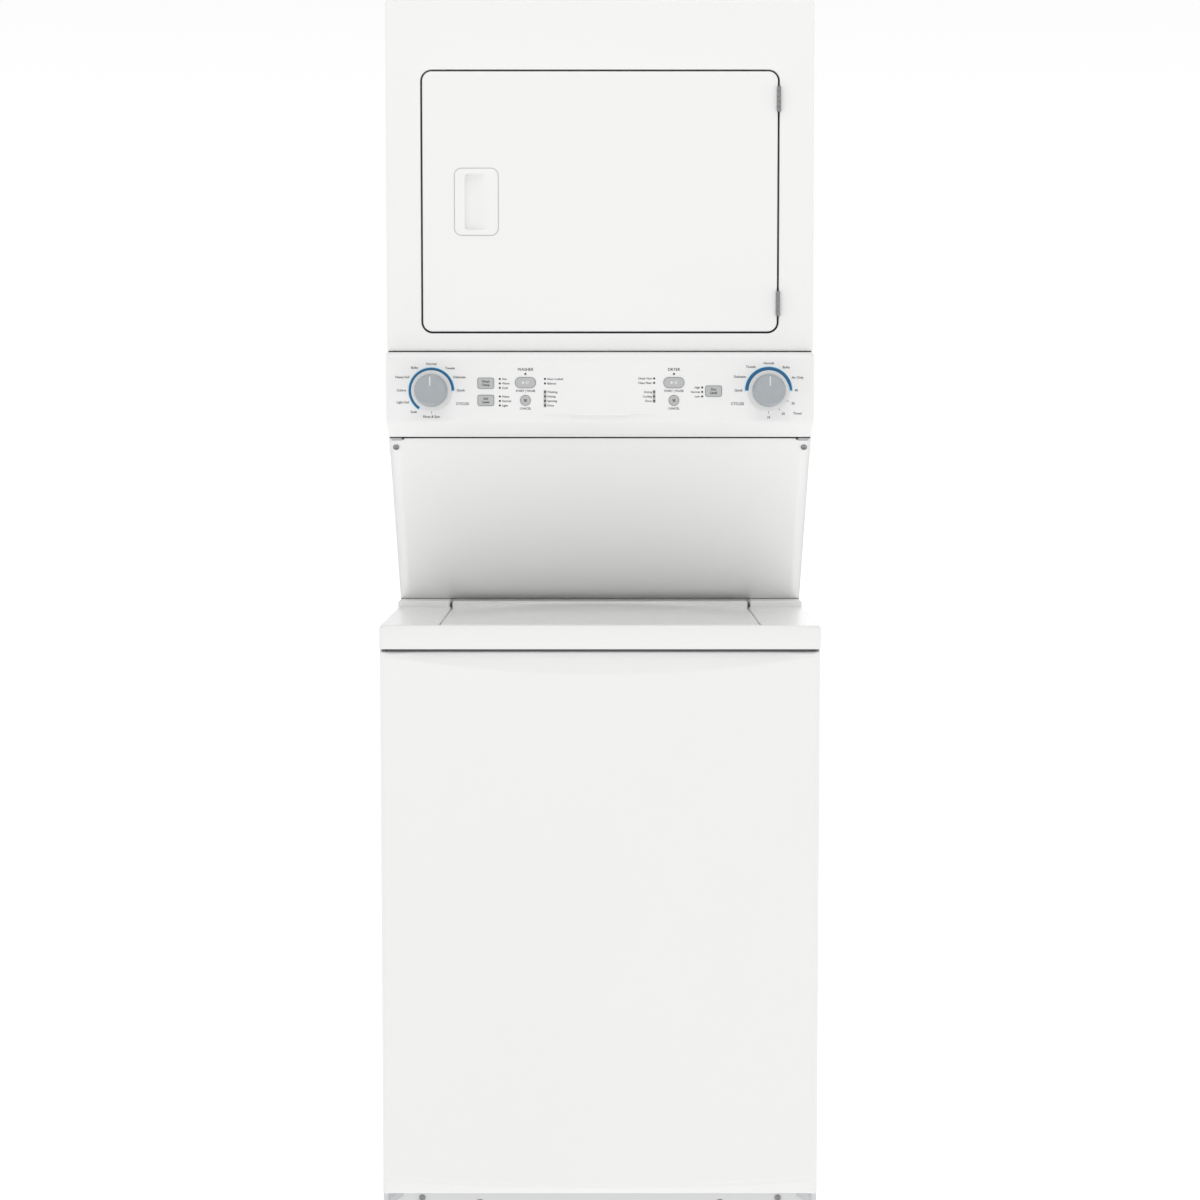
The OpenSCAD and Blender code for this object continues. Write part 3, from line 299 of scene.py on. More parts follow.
@dataclass(frozen=True)
class Mesh(Finish):
    """Woven filter gauze: a square weave of fine threads with holes between them."""

    pitch: float = 1.4 * MM
    thread_depth: float = 0.2 * MM

    def build(self, g: Graph) -> bpy.types.Material:
        """Draws threads with sine waves across X and Z and lets the gaps show through."""
        here = g.node("ShaderNodeSeparateXYZ", inputs={0: g.place()})
        waves = [axis * (2 * pi / self.pitch) for axis in (here, here.beside("Z"))]
        thread = [g.node("ShaderNodeMath", {"operation": "SINE"}, {0: wave}) * 0.5 + 0.5 for wave in waves]
        cloth = g.node("ShaderNodeMath", {"operation": "MAXIMUM"}, {0: thread[0], 1: thread[1]})
        return g.finish(Base_Color=g.blend(cloth, self.shade(0.6), self.colour), Roughness=cloth * 0.1 + 0.5,
                        Alpha=cloth.ramp(0.35, 0.6), Normal=g.bump(cloth, self.thread_depth, 0.6))


ENAMEL = Enamel("white_enamel", (0.885, 0.885, 0.877), 0.22)
ENAMEL_INSIDE = Enamel("inner_enamel", (0.84, 0.84, 0.83), 0.30)
TOE_GREY = Enamel("toe_grey_paint", (0.70, 0.705, 0.705), 0.38, slot="zinc_steel")
CONSOLE_WHITE = Moulded("console_plastic", (0.875, 0.876, 0.868), 0.34, slot="panel_white", grain=0.00001)
HANDLE_WHITE = Moulded("handle_plastic", (0.885, 0.885, 0.876), 0.32, slot="panel_white", grain=0.00001)
TUB_WHITE = Moulded("tub_white_plastic", (0.80, 0.80, 0.78), 0.38, slot="panel_white")
KNOB_GREY = Brushed("knob_face", (0.415, 0.44, 0.46), 0.42, 0.35, "control_grey", (1.0, 1.0, 1.0))
SKIRT_GREY = Moulded("knob_skirt", (0.70, 0.71, 0.715), 0.33, slot="control_grey")
BUTTON_GREY = Moulded("button_plastic", (0.50, 0.505, 0.51), 0.40, slot="control_grey")
BEZEL_GREY = Moulded("button_bezel", (0.30, 0.305, 0.31), 0.40, slot="control_grey")
STRIP_GREY = Moulded("lamp_strip", (0.45, 0.45, 0.455), 0.45, slot="control_grey")
LAMP_DARK = Moulded("lamp_lens", (0.02, 0.02, 0.024), 0.20, slot="lamp_dark")
INK = Moulded("label_ink", (0.014, 0.014, 0.016), 0.60, slot="lamp_dark")
PALE_INK = Moulded("pale_ink", (0.80, 0.81, 0.82), 0.50, slot="panel_white")
BLUE = Moulded("dial_blue", (0.010, 0.135, 0.300), 0.40, slot="control_grey")
PALE_BLUE = Moulded("dial_halo", (0.50, 0.76, 0.90), 0.40, slot="control_grey")
ZINC = Galvanised("galvanised_sheet", (0.52, 0.54, 0.55), 0.40, 0.75, "zinc_steel")
DARK_ZINC = Galvanised("dull_zinc", (0.34, 0.35, 0.36), 0.48, 0.7, "zinc_steel")
# Plated steel with its colour darkened to about half: a painted reflection, standing in for the darker
# surroundings that bright hinges and screws mirror.
DARK_REFLECTION_STEEL = Brushed("steel_painted_dark_reflection", (0.30, 0.305, 0.31), 0.36, 0.85, "bright_steel")
STEEL = Brushed("plated_steel", (0.62, 0.63, 0.64), 0.26, 0.95, "bright_steel")
DRUM_STEEL = Brushed("drum_steel", (0.66, 0.67, 0.68), 0.30, 0.9, "drum_steel", (1.0, 40.0, 1.0))
BASKET_STEEL = Brushed("basket_steel", (0.66, 0.67, 0.68), 0.28, 0.9, "drum_steel", (1.0, 1.0, 40.0))
RUBBER = Rubber("black_rubber", (0.022, 0.022, 0.024), 0.70, slot="black_rubber")
SEAL = Rubber("door_seal_rubber", (0.20, 0.20, 0.20), 0.72, slot="seal_felt")
TUB_GREY = Moulded("tub_plastic", (0.52, 0.53, 0.53), 0.45, slot="tub_plastic")
FAN_GREY = Moulded("fan_plastic", (0.34, 0.35, 0.35), 0.50, slot="fan_plastic")
GAUZE = Mesh("filter_gauze", (0.62, 0.63, 0.64), 0.5, slot="fan_plastic")
MOTOR = Cast("motor_paint", (0.045, 0.047, 0.05), 0.50, 0.3, "motor_black")
ALLOY = Cast("cast_alloy", (0.44, 0.45, 0.46), 0.45, 0.85, "cast_alloy")
BOARD = Moulded("board_lacquer", (0.018, 0.12, 0.05), 0.30, slot="board_green")
VALVE = Moulded("valve_plastic", (0.04, 0.12, 0.33), 0.45, slot="valve_blue")


# ---------------------------------------------------------------- shapes as arrays

class Facing(Enum):
    """The plane in which a flat outline is drawn, and the way its height grows."""

    FRONT = (0, 2, 1, -1.0)     # drawn in X and Z, height towards the front
    BACK = (0, 2, 1, 1.0)       # drawn in X and Z, height towards the rear
    TOP = (0, 1, 2, 1.0)        # drawn in X and Y, height upwards

    def place(self, flat: Array, height: Array | float, base: float) -> Array:
        """Carries flat points (..., 2) into space.

        Args:
            flat: the outline's two coordinates.
            height: how far each point stands off the base plane.
            base: the base plane's place on its axis.

        Returns:
            Points (..., 3).
        """
        first, second, third, sign = self.value
        out = np.empty(flat.shape[:-1] + (3,))
        out[..., first] = flat[..., 0]
        out[..., second] = flat[..., 1]
        out[..., third] = base + sign * np.broadcast_to(height, flat.shape[:-1])
        return out


@dataclass(frozen=True)
class Span:
    """The box that a node of the engineering model fills."""

    low: Array
    high: Array

    @classmethod
    def of(cls, node: str) -> "Span":
        """The span of the named node."""
        low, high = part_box(node)
        return cls(np.array(low), np.array(high))

    @property
    def middle(self) -> Array:
        """The box's centre."""
        return (self.low + self.high) / 2

    @property
    def size(self) -> Array:
        """The box's three sides."""
        return self.high - self.low


def mm(*rows: Sequence[float]) -> Array:
    """Rows of millimetres as an array in metres."""
    return np.array(rows, float) * MM


def looped(rows: Array) -> Array:
    """A profile that ends where it starts."""
    return join([rows, rows[:1]])


def node_span(node: str) -> Span:
    """A dataclass field that finds a node's span when its class is made."""
    return field(default_factory=lambda: Span.of(node))


def link(name: str, data: bpy.types.ID) -> Piece:
    """A new object in the scene, at the origin."""
    made = bpy.data.objects.new(name, data)
    bpy.context.scene.collection.objects.link(made)
    return made


def bend(t: Array) -> Array:
    """Smooth step: 3t^2 - 2t^3 between 0 and 1."""
    t = np.clip(t, 0.0, 1.0)
    return t * t * (3 - 2 * t)


def rounded(width: float, height: float, radius: float, centre: Sequence[float] = (0.0, 0.0),
            arc: int = 8, side: int = 4) -> Array:
    """Rounded rectangle as points (n, 2): four quarter circles joined by straight runs.

    Args:
        width: full width.
        height: full height.
        radius: corner radius.
        centre: the rectangle's centre.
        arc: points on each corner.
        side: points inside each straight run.

    Returns:
        Points anticlockwise from the middle of the right side's lower end.
    """
    radius = max(min(radius, width / 2, height / 2), 1e-7)
    turn = np.linspace(0, pi / 2, arc)
    corners = []
    for k, (sx, sy) in enumerate(((1, 1), (-1, 1), (-1, -1), (1, -1))):
        hub = np.array([sx * (width / 2 - radius), sy * (height / 2 - radius)])
        angle = turn + k * pi / 2
        corners.append(hub + radius * np.stack([np.cos(angle), np.sin(angle)], -1))
    runs = []
    for k in range(4):
        start, end = corners[k][-1], corners[(k + 1) % 4][0]
        share = np.linspace(0, 1, side + 2)[1:-1, None]
        runs += [corners[k], start + share * (end - start)]
    return join(runs) + np.array(centre)


def edge_round(radius: float, steps: int = 5) -> Array:
    """Quarter circle from a wall onto a face, as rows of inset and drop: (r, 0) down to (0, r)."""
    angle = np.linspace(0, pi / 2, steps)
    return np.stack([radius * (1 - np.sin(angle)), radius * (1 - np.cos(angle))], -1)


@dataclass(frozen=True)
class Outline:
    """A rounded rectangle, drawn in one of the facing planes."""

    wide: float
    tall: float
    corner: float
    centre: Sequence[float]
    arc: int = 8
    side: int = 4

    def rings(self, facing: Facing, rows: Sequence[tuple[float, float]], base: float = 0.0) -> list[Array]:
        """Copies of the outline, each moved out or in and set at a height.

        Args:
            facing: the plane that it is drawn in.
            rows: pairs of how far the outline grows, and its height over the base plane.
            base: the base plane's place on its axis.

        Returns:
            A ring of points (n, 3) for each row.
        """
        return [facing.place(rounded(self.wide + 2 * grow, self.tall + 2 * grow, self.corner + grow,
                                     self.centre, self.arc, self.side), height, base)
                for grow, height in rows]


class Skin:
    """Gathers patches of points and makes one mesh of them."""

    def __init__(self) -> None:
        """Starts with nothing."""
        self.points: list[Array] = []
        self.faces: list[Array] = []
        self.count = 0

    def keep(self, points: Array, faces: Sequence[Array]) -> "Skin":
        """Adds points, and faces that number those points from 0."""
        self.faces += [np.asarray(face) + self.count for face in faces]
        self.points.append(points.reshape(-1, 3))
        self.count += self.points[-1].shape[0]
        return self

    def patch(self, grid: Array, wrap_u: bool = False, wrap_v: bool = False, flip: bool = False) -> "Skin":
        """Adds a grid of points (nu, nv, 3) as four-sided faces.

        Args:
            grid: the points.
            wrap_u: the last row joins the first.
            wrap_v: the last column joins the first.
            flip: turns the faces over.

        Returns:
            The same skin, so that calls can follow each other.
        """
        nu, nv = grid.shape[:2]
        i = np.arange(nu if wrap_u else nu - 1)[:, None]
        j = np.arange(nv if wrap_v else nv - 1)[None, :]
        i2, j2 = (i + 1) % nu, (j + 1) % nv
        quads = np.stack(np.broadcast_arrays(i * nv + j, i2 * nv + j, i2 * nv + j2, i * nv + j2), -1)
        quads = quads.reshape(-1, 4)
        return self.keep(grid, [quads[:, ::-1] if flip else quads])

    def cap(self, ring: Array, flip: bool = False) -> "Skin":
        """Closes a flat ring of points (n, 3) with one face."""
        order = np.arange(len(ring))
        return self.keep(ring, [order[None, ::-1] if flip else order[None]])

    def loft(self, rings: Sequence[Array], ends: bool = True) -> "Skin":
        """Joins rings of as many points each, and closes the first and last if ends is true."""
        self.patch(np.stack(rings), wrap_v=True)
        if ends:
            self.cap(rings[0], flip=False)
            self.cap(rings[-1], flip=True)
        return self

    def turned(self, profile: Array, centre: Sequence[float], axis: int = 2, steps: int = 96) -> "Skin":
        """Adds a turned shape: a profile of (radius, height) rows carried round an axis through centre.

        Args:
            profile: rows of radius and height, the height counted from centre.
            centre: a point on the axis.
            axis: 0, 1 or 2, for an axis along X, Y or Z.
            steps: points round the turn.

        Returns:
            The same skin.
        """
        angle = np.linspace(0, 2 * pi, steps, endpoint=False)
        radius, height = profile[:, 0][:, None], profile[:, 1][:, None]
        grid = np.empty((len(profile), steps, 3))
        grid[..., (axis + 1) % 3] = radius * np.cos(angle)
        grid[..., (axis + 2) % 3] = radius * np.sin(angle)
        grid[..., axis] = height
        return self.patch(grid + np.array(centre), wrap_v=True)

    def slab(self, facing: Facing, outline: Outline, base: float, height: float, edge: float) -> "Skin":
        """Adds a plate with a rounded edge round its face.

        Args:
            facing: the plane that it lies in.
            outline: its outline.
            base: where its back face lies.
            height: its thickness.
            edge: radius of the edge round its face.

        Returns:
            The same skin.
        """
        rows = [(-inset, height - drop) for inset, drop in edge_round(edge)]
        return self.loft(outline.rings(facing, [*rows, (0.0, 0.0)], base))

    def tube(self, path: Array, radius: float, sides: int) -> "Skin":
        """Adds a closed tube: a circle of that radius carried along a path (n, 3) that is never upright."""
        along = np.gradient(path, axis=0)
        along /= np.linalg.norm(along, axis=1, keepdims=True)
        across = np.cross(along, np.array([0.0, 0.0, 1.0]))
        across /= np.linalg.norm(across, axis=1, keepdims=True)
        over = np.cross(along, across)
        angle = np.linspace(0, 2 * pi, sides, endpoint=False)[None, :, None]
        ring = np.cos(angle) * across[:, None] + np.sin(angle) * over[:, None]
        return self.loft(path[:, None] + radius * ring)

    def mesh(self, name: str, closed: bool = True) -> bpy.types.Mesh:
        """All patches as one mesh, settled."""
        mesh = bpy.data.meshes.new(name)
        faces = [row.tolist() for block in self.faces for row in block]
        mesh.from_pydata(join(self.points), [], faces)
        return settle(mesh, closed)

    def build(self, name: str, finish: Finish, body: str, node: str = "", closed: bool = True,
              crease: float = 32.0) -> Piece:
        """Makes the object, gives it its finish and lets it ride.

        Args:
            name: the piece's name.
            finish: its finish.
            body: the body that it rides on.
            node: the node of the engineering model that it stands for, if any.
            closed: its faces are turned to point outwards.
            crease: edges sharper than this many degrees stay sharp.

        Returns:
            The new object, at the origin.
        """
        piece = dress(link(name, self.mesh(name, closed)), finish, body, crease)
        if node:
            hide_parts(node)
        return piece

    def sheet(self, name: str, finish: Finish, body: str, node: str, wall: float, crease: float = 50.0,
              inward: bool = True) -> Piece:
        """Makes an open sheet of that wall, thickened away from the side that its faces point to."""
        piece = self.build(name, finish, body, node, closed=False, crease=crease)
        return thicken(piece, wall, inward)


def settle(mesh: bpy.types.Mesh, closed: bool) -> bpy.types.Mesh:
    """Merges doubled points, drops faces with no area and, on a closed shape, points the faces outwards."""
    work = bmesh.new()
    work.from_mesh(mesh)
    bmesh.ops.remove_doubles(work, verts=work.verts, dist=2e-6)
    bmesh.ops.dissolve_degenerate(work, edges=work.edges, dist=1e-7)
    if closed:
        bmesh.ops.recalc_face_normals(work, faces=work.faces)
    work.to_mesh(mesh)
    work.free()
    return mesh


def dress(piece: Piece, finish: Finish, body: str, crease: float = 32.0) -> Piece:
    """Gives a piece its finish, smooth faces with sharp creases and its body."""
    piece.data.materials.clear()
    piece.data.materials.append(finish.material())
    piece.data.shade_smooth()
    piece.data.set_sharp_from_angle(angle=radians(crease))
    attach(piece, body)
    log.info("%s in %s rides on %s", piece.name, finish.name, body)
    return piece


def thicken(piece: Piece, wall: float, inward: bool = True) -> Piece:
    """Gives a sheet its thickness, away from the side that its faces point to."""
    solid = piece.modifiers.new("wall", "SOLIDIFY")
    solid.thickness = wall
    solid.offset = -1.0 if inward else 1.0
    return piece


def bake_modifiers(piece: Piece) -> Piece:
    """Turns a piece's modifiers into its mesh."""
    depsgraph = bpy.context.evaluated_depsgraph_get()
    mesh = bpy.data.meshes.new_from_object(piece.evaluated_get(depsgraph))
    piece.modifiers.clear()
    piece.data = mesh
    return piece


def carve(piece: Piece, cutter: Skin) -> Piece:
    """Cuts a closed shape out of a piece and keeps the result as its mesh."""
    mesh = cutter.mesh("cutter")
    tool = link("cutter", mesh)
    cut = piece.modifiers.new("cut", "BOOLEAN")
    cut.operation = "DIFFERENCE"
    cut.solver = "MANIFOLD"
    cut.object = tool
    bake_modifiers(piece)
    bpy.data.objects.remove(tool)
    bpy.data.meshes.remove(mesh)
    return piece


def body_of(node: str) -> str:
    """The body that a node of the engineering model belongs to."""
    bodies = frame["record"]["behaviour"]["bodies"]
    return next(body for body, members in bodies.items() if node in members)


def soften(node: str, finish: Finish, width: float = 0.6 * MM, crease: float = 30.0) -> Piece:
    """Replaces a node with a copy whose edges are slightly round.

    Args:
        node: the node to copy.
        finish: its finish.
        width: how wide the rounding is.
        crease: edges sharper than this many degrees are rounded.

    Returns:
        The new piece.
    """
    source = frame["nodes"][node]
    mesh = source.data.copy()
    piece = link(f"{node}_smooth", mesh)
    work = bmesh.new()
    work.from_mesh(mesh)
    bmesh.ops.remove_doubles(work, verts=work.verts, dist=1e-6)
    bmesh.ops.dissolve_limit(work, angle_limit=radians(1.0), verts=work.verts, edges=work.edges)
    work.to_mesh(mesh)
    work.free()
    edge = piece.modifiers.new("edge", "BEVEL")
    edge.width = width
    edge.segments = 2
    edge.angle_limit = radians(crease)
    dress(piece, finish, body_of(node))
    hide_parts(node)
    return piece


def soften_all(*jobs: tuple[str, Finish, float]) -> None:
    """Softens nodes in turn: each job is a node, its finish and its rounding in millimetres."""
    for node, finish, width in jobs:
        soften(node, finish, width * MM)


def paint(node: str, finish: Finish) -> None:
    """Gives a node of the engineering model a finish and leaves its shape alone."""
    source = frame["nodes"][node]
    source.data.materials.clear()
    source.data.materials.append(finish.material())


def perforated(columns: int, rows: int, share: float) -> tuple[Array, Array]:
    """Sheet of square cells, each with an eight-sided hole, over the unit square.

    Args:
        columns: cells along u.
        rows: cells along v.
        share: the hole's width as a share of its cell.

    Returns:
        Points (n, 2), and faces (m, 4) between each cell's edge and its hole.
    """
    angle = np.arange(8) * pi / 4
    ring = np.stack([np.cos(angle), np.sin(angle)], -1)
    square = ring / np.abs(ring).max(1, keepdims=True)
    cell = join([square, ring * share]) / 2 + 0.5
    corner = np.stack(np.meshgrid(np.arange(columns), np.arange(rows), indexing="ij"), -1).reshape(-1, 1, 2)
    points = (cell[None] + corner) / np.array([columns, rows])
    k = np.arange(8)
    quad = np.stack([k, (k + 1) % 8, (k + 1) % 8 + 8, k + 8], -1)
    faces = quad[None] + 16 * np.arange(columns * rows)[:, None, None]
    return points.reshape(-1, 2), faces.reshape(-1, 4)


def border_of(grid: Array) -> Array:
    """The outermost points of a grid (n, m, 3), in order round it."""
    return join([grid[:-1, 0], grid[-1, :-1], grid[:0:-1, -1], grid[0, :0:-1]])


# ---------------------------------------------------------------- stage

@dataclass
class Stage:
    """Floor, soft studio light and the camera."""

    eye: tuple[float, float, float] = (0.0, -4.4, 1.27)
    aim: Vector = field(default_factory=lambda: Vector((0.0, 0.0, 1.0)))
    pitch: float = 0.075
    lens: float = 77.85
    reach: float = 60.0         # how far the floor goes to each side
    zenith: float = 0.70        # brightness of the room overhead, against 1 near the horizon
    near_side: float = 0.80     # brightness of the room in front of the machine, against 1 behind it
    panels: dict[str, tuple] = field(default_factory=lambda: {    # name: place, width, power
        "key": ((-2.6, -3.8, 3.4), 2.4, 3.0), "fill": ((3.2, -3.2, 2.0), 2.4, 2.0),
        "top": ((0.0, -2.2, 5.0), 3.0, 46.0), "back": ((1.4, 3.6, 3.0), 2.4, 30.0),
        "front": ((0.0, -5.5, 1.9), 3.0, 0.5)})

    def build(self) -> None:
        """Makes the whole stage."""
        self.floor()
        self.sky()
        self.lights()
        self.camera()

    def floor(self) -> None:
        """A wide pale floor."""
        mesh = bpy.data.meshes.new("studio_floor")
        corners = [(x * self.reach, y * self.reach, 0) for x, y in ((-1, -1), (1, -1), (1, 1), (-1, 1))]
        mesh.from_pydata(corners, [], [(0, 1, 2, 3)])
        g = Graph(bpy.data.materials.new("studio_floor"))
        tone = g.blend(g.noise(0.8, 2.0), (0.42, 0.42, 0.42), (0.44, 0.44, 0.44))
        mesh.materials.append(g.finish(Base_Color=tone, Roughness=0.8, Emission_Color=(1.0, 1.0, 1.0, 1.0),
                                       Emission_Strength=0.80))
        link("studio_floor", mesh)

    def sky(self) -> None:
        """A room that is brightest behind the machine near the horizon."""
        bpy.context.scene.world = bpy.data.worlds.new("studio")
        g = Graph(bpy.context.scene.world)
        here = g.node("ShaderNodeTexCoord", outlet="Generated")
        up = g.node("ShaderNodeSeparateXYZ", inputs={0: here}, outlet="Z")
        strength = up.ramp(0.10, 0.40, 1.0, self.zenith) * up.beside("Y").ramp(-0.6, 0.5, self.near_side, 1.0)
        light = g.node("ShaderNodeBackground", inputs={"Color": (1.0, 1.0, 1.0, 1.0), "Strength": strength})
        g.end(light, "ShaderNodeOutputWorld")

    def lights(self) -> None:
        """Large soft panels, all turned to the machine's middle."""
        for name, (spot, width, power) in self.panels.items():
            data = bpy.data.lights.new(name, "AREA")
            data.shape = "SQUARE"
            data.size = width
            data.energy = power
            lamp = link(name, data)
            lamp.location = spot
            lamp.rotation_euler = (self.aim - Vector(spot)).to_track_quat("-Z", "Y").to_euler()

    def camera(self) -> None:
        """The camera at standing height, tipped slightly down."""
        data = bpy.data.cameras.new("camera")
        data.lens = self.lens
        data.sensor_width = 36.0
        data.clip_end = 200.0
        camera = link("camera", data)
        camera.location = self.eye
        camera.rotation_euler = (pi / 2 - self.pitch, 0.0, 0.0)
        bpy.context.scene.camera = camera
        bpy.context.scene.view_settings.view_transform = "Standard"


# ---------------------------------------------------------------- washer

@dataclass
class WasherCabinet:
    """The washer's front panel, wrapped cabinet, base and feet."""

    shell: Span = node_span("washer_cabinet")
    front: Span = node_span("washer_front_panel")
    base: Span = node_span("base_frame")
    legs: Span = node_span("leveling_legs")
    corner: float = 10 * MM
    wall: float = 1 * MM
    roll: float = 6 * MM        # how far the front panel rolls back at its top and foot

    def build(self) -> None:
        """Makes the cabinet's pieces."""
        self.front_panel()
        self.wrap()
        self.feet()
        soften("base_frame", TOE_GREY, 0.8 * MM)
        self.toe_gussets()

    def plan(self, inset: Array, columns: int = 90) -> tuple[Array, Array]:
        """The front panel's plan, a U with round front corners, moved in by inset.

        Args:
            inset: rows of inset, shaped (n, 1).
            columns: points across the face.

        Returns:
            X and Y of the points, shaped (n, m).
        """
        count = len(inset)
        half, front, rear = self.front.high[0], self.front.low[1], self.front.high[1]
        turn = np.linspace(pi, 1.5 * pi, 10)
        radius = np.maximum(self.corner - inset, 0.0)
        hub = half - self.corner
        x_left = join([np.broadcast_to(-half + inset, (count, 1)), -hub + radius * np.cos(turn)], 1)
        y_left = join([np.full((count, 1), rear), front + self.corner + radius * np.sin(turn)], 1)
        face = np.broadcast_to(np.linspace(-hub, hub, columns)[1:-1], (count, columns - 2))
        x = join([x_left, face, -x_left[:, ::-1]], 1)
        y = join([y_left, np.broadcast_to(front + inset, face.shape), y_left[:, ::-1]], 1)
        return x, y

    def front_panel(self) -> None:
        """A sheet whose face rolls back towards the top and foot behind a bowed line.

        At the top the face starts to roll h0 + h1 (1 - (x / half)^2) below its edge, and moves back by
        roll (1 - t)^1.15, where t runs from 0 at the edge to 1 at that height. At the foot the band is widest
        at the corners, and a shallow groove runs along it.
        """
        low, high = self.front.low[2], self.front.high[2]
        bow, hem, round_r, band = 31 * MM, 12 * MM, 2.5 * MM, 45 * MM
        edge = edge_round(round_r)
        levels = join([np.linspace(low + round_r, low + band, 28),
                                 np.linspace(low + band, high - band, 12)[1:-1],
                                 np.linspace(high - band, high - round_r, 28)])
        rows = [(hem, low), *[(i, low + d) for i, d in edge], *[(0.0, z) for z in levels[1:-1]],
                *[(i, high - d) for i, d in edge[::-1]], (hem, high)]
        inset, z = (np.array(column)[:, None] for column in zip(*rows))
        x, y = self.plan(inset)
        half = self.front.high[0]
        across = np.clip((x / half) ** 2, 0, 1)
        inward = bend((half - np.abs(x)) / (14 * MM))
        top = (high - z) / (5 * MM + bow * (1 - across))
        foot = (z - low) / (11 * MM + 12 * MM * across)
        groove = 0.7 * MM * np.exp(-((foot - 1.1) / 0.16) ** 2)
        y = y + self.roll * np.clip(1 - top, 0, 1) ** 1.15 * inward
        y = y + (4 * MM * np.clip(1 - foot, 0, 1) + groove) * inward
        grid = np.stack([x, np.minimum(y, self.front.high[1]), np.broadcast_to(z, x.shape)], -1)
        skin = Skin().patch(grid, flip=True)
        skin.sheet("front_panel_skin", ENAMEL, "cabinet", "washer_front_panel", self.wall)
        # Painted shadow: a black strip, which the real washer lacks, set behind the gap under the deck's
        # skirt so that the gap shows as a crisp dark line.
        strip = Outline(2 * half - 16 * MM, 9 * MM, 1 * MM, (0.0, high + 4.6 * MM))
        skin = Skin().slab(Facing.FRONT, strip, self.front.low[1] + 9 * MM, 3 * MM, 0.5 * MM)
        skin.build("top_gap_painted_shadow_strip", RUBBER, "cabinet")

    def wrap(self) -> None:
        """The cabinet's side and rear sheet: a U in plan with turned-in front edges and pressed panels."""
        low, high = self.shell.low, self.shell.high
        half, front, rear, turn_r = high[0], low[1], high[1], 8 * MM
        hub = np.array([half - turn_r, rear - turn_r])
        bends = np.linspace(0, pi / 2, 8)[1:]
        lip = np.array([half, front]) + mm([-14, 0], [-1.5, 0], [-0.4, 0.4])
        run_y = np.linspace(front + 1.5 * MM, hub[1], 40)
        run = np.stack([np.full(len(run_y), half), run_y], -1)
        corner = hub + turn_r * np.stack([np.cos(bends), np.sin(bends)], -1)
        right = join([lip, run, corner])
        back = np.stack([np.linspace(hub[0], -hub[0], 70)[1:-1], np.full(68, rear)], -1)
        plan = join([right, back, right[::-1] * np.array([-1, 1])])
        z = np.linspace(low[2], high[2], 60)
        grid = np.empty((len(z), len(plan), 3))
        grid[..., 0], grid[..., 1], grid[..., 2] = plan[:, 0], plan[:, 1], z[:, None]
        on_side = (np.abs(plan[:, 0]) > half - 0.1 * MM)[None]
        side = self.pressing(grid[..., 1], grid[..., 2], (front + 60 * MM, rear - 60 * MM),
                             (low[2] + 70 * MM, high[2] - 70 * MM))
        grid[..., 0] -= np.sign(grid[..., 0]) * on_side * side * 2.0 * MM
        on_back = (plan[:, 1] > rear - 0.1 * MM)[None]
        for across in ((-half + 50 * MM, -40 * MM), (40 * MM, half - 50 * MM)):
            up = low[2] + 80 * MM, high[2] - 190 * MM
            pressed = self.pressing(grid[..., 0], grid[..., 2], across, up)
            grid[..., 1] -= on_back * pressed * 3.0 * MM
        Skin().patch(grid, flip=True).sheet("cabinet_wrap", ENAMEL, "cabinet", "washer_cabinet", self.wall)

    @staticmethod
    def pressing(a: Array, b: Array, span_a: tuple[float, float], span_b: tuple[float, float]) -> Array:
        """1 inside a pressed panel and 0 outside, with a smooth step of 14 mm along its border."""
        step = 14 * MM
        inside = bend((a - span_a[0]) / step) * bend((span_a[1] - a) / step)
        return inside * bend((b - span_b[0]) / step) * bend((span_b[1] - b) / step)

    def feet(self) -> None:
        """Four levelling legs: a rubber foot, a hexagon nut and a threaded stud."""
        feet, studs = Skin(), Skin()
        inset, pitch = 20 * MM, 0.6
        foot = mm([0, 0], [18, 0], [20, 1.2], [20, 3], [19, 4.6], [15, 6], [11, 6.4], [0, 6.4])
        nut = mm([0, 5], [11, 5.6], [11, 13.2], [9.6, 14], [0, 14])
        turns = np.arange(14, self.legs.high[2] / MM - pitch, pitch)
        wave = 4.55 + 0.4 * np.sign(np.sin(turns * pi / pitch + pi / 2))
        thread = np.stack([wave, turns], -1) * MM
        thread = join([[[0, thread[0, 1]]], thread, [[0, thread[-1, 1]]]])
        for sx in (-1, 1):
            for y in (self.legs.low[1] + inset, self.legs.high[1] - inset):
                at = (sx * (self.legs.high[0] - inset), y, 0.0)
                feet.turned(foot, at, steps=48)
                studs.turned(nut, at, steps=6)
                studs.turned(thread, at, steps=24)
        feet.build("leg_feet", RUBBER, "cabinet", "leveling_legs")
        studs.build("leg_studs", STEEL, "cabinet", "leveling_legs", crease=20)

    def toe_gussets(self) -> None:
        """Small folded gussets that close the frame's front corners under the panel."""
        skin = Skin()
        low, high = self.base.low[2], self.front.low[2]
        for sx in (-1, 1):
            outer, inner = sx * (self.base.high[0] - 8 * MM), sx * (self.base.high[0] - 31 * MM)
            flat = np.array([[outer, low], [outer, high], [inner, high], [inner, high - 5 * MM]])
            skin.loft([Facing.FRONT.place(flat, rise, self.base.low[1]) for rise in (1.2 * MM, 0.0)])
        skin.build("toe_gussets", ZINC, "cabinet")


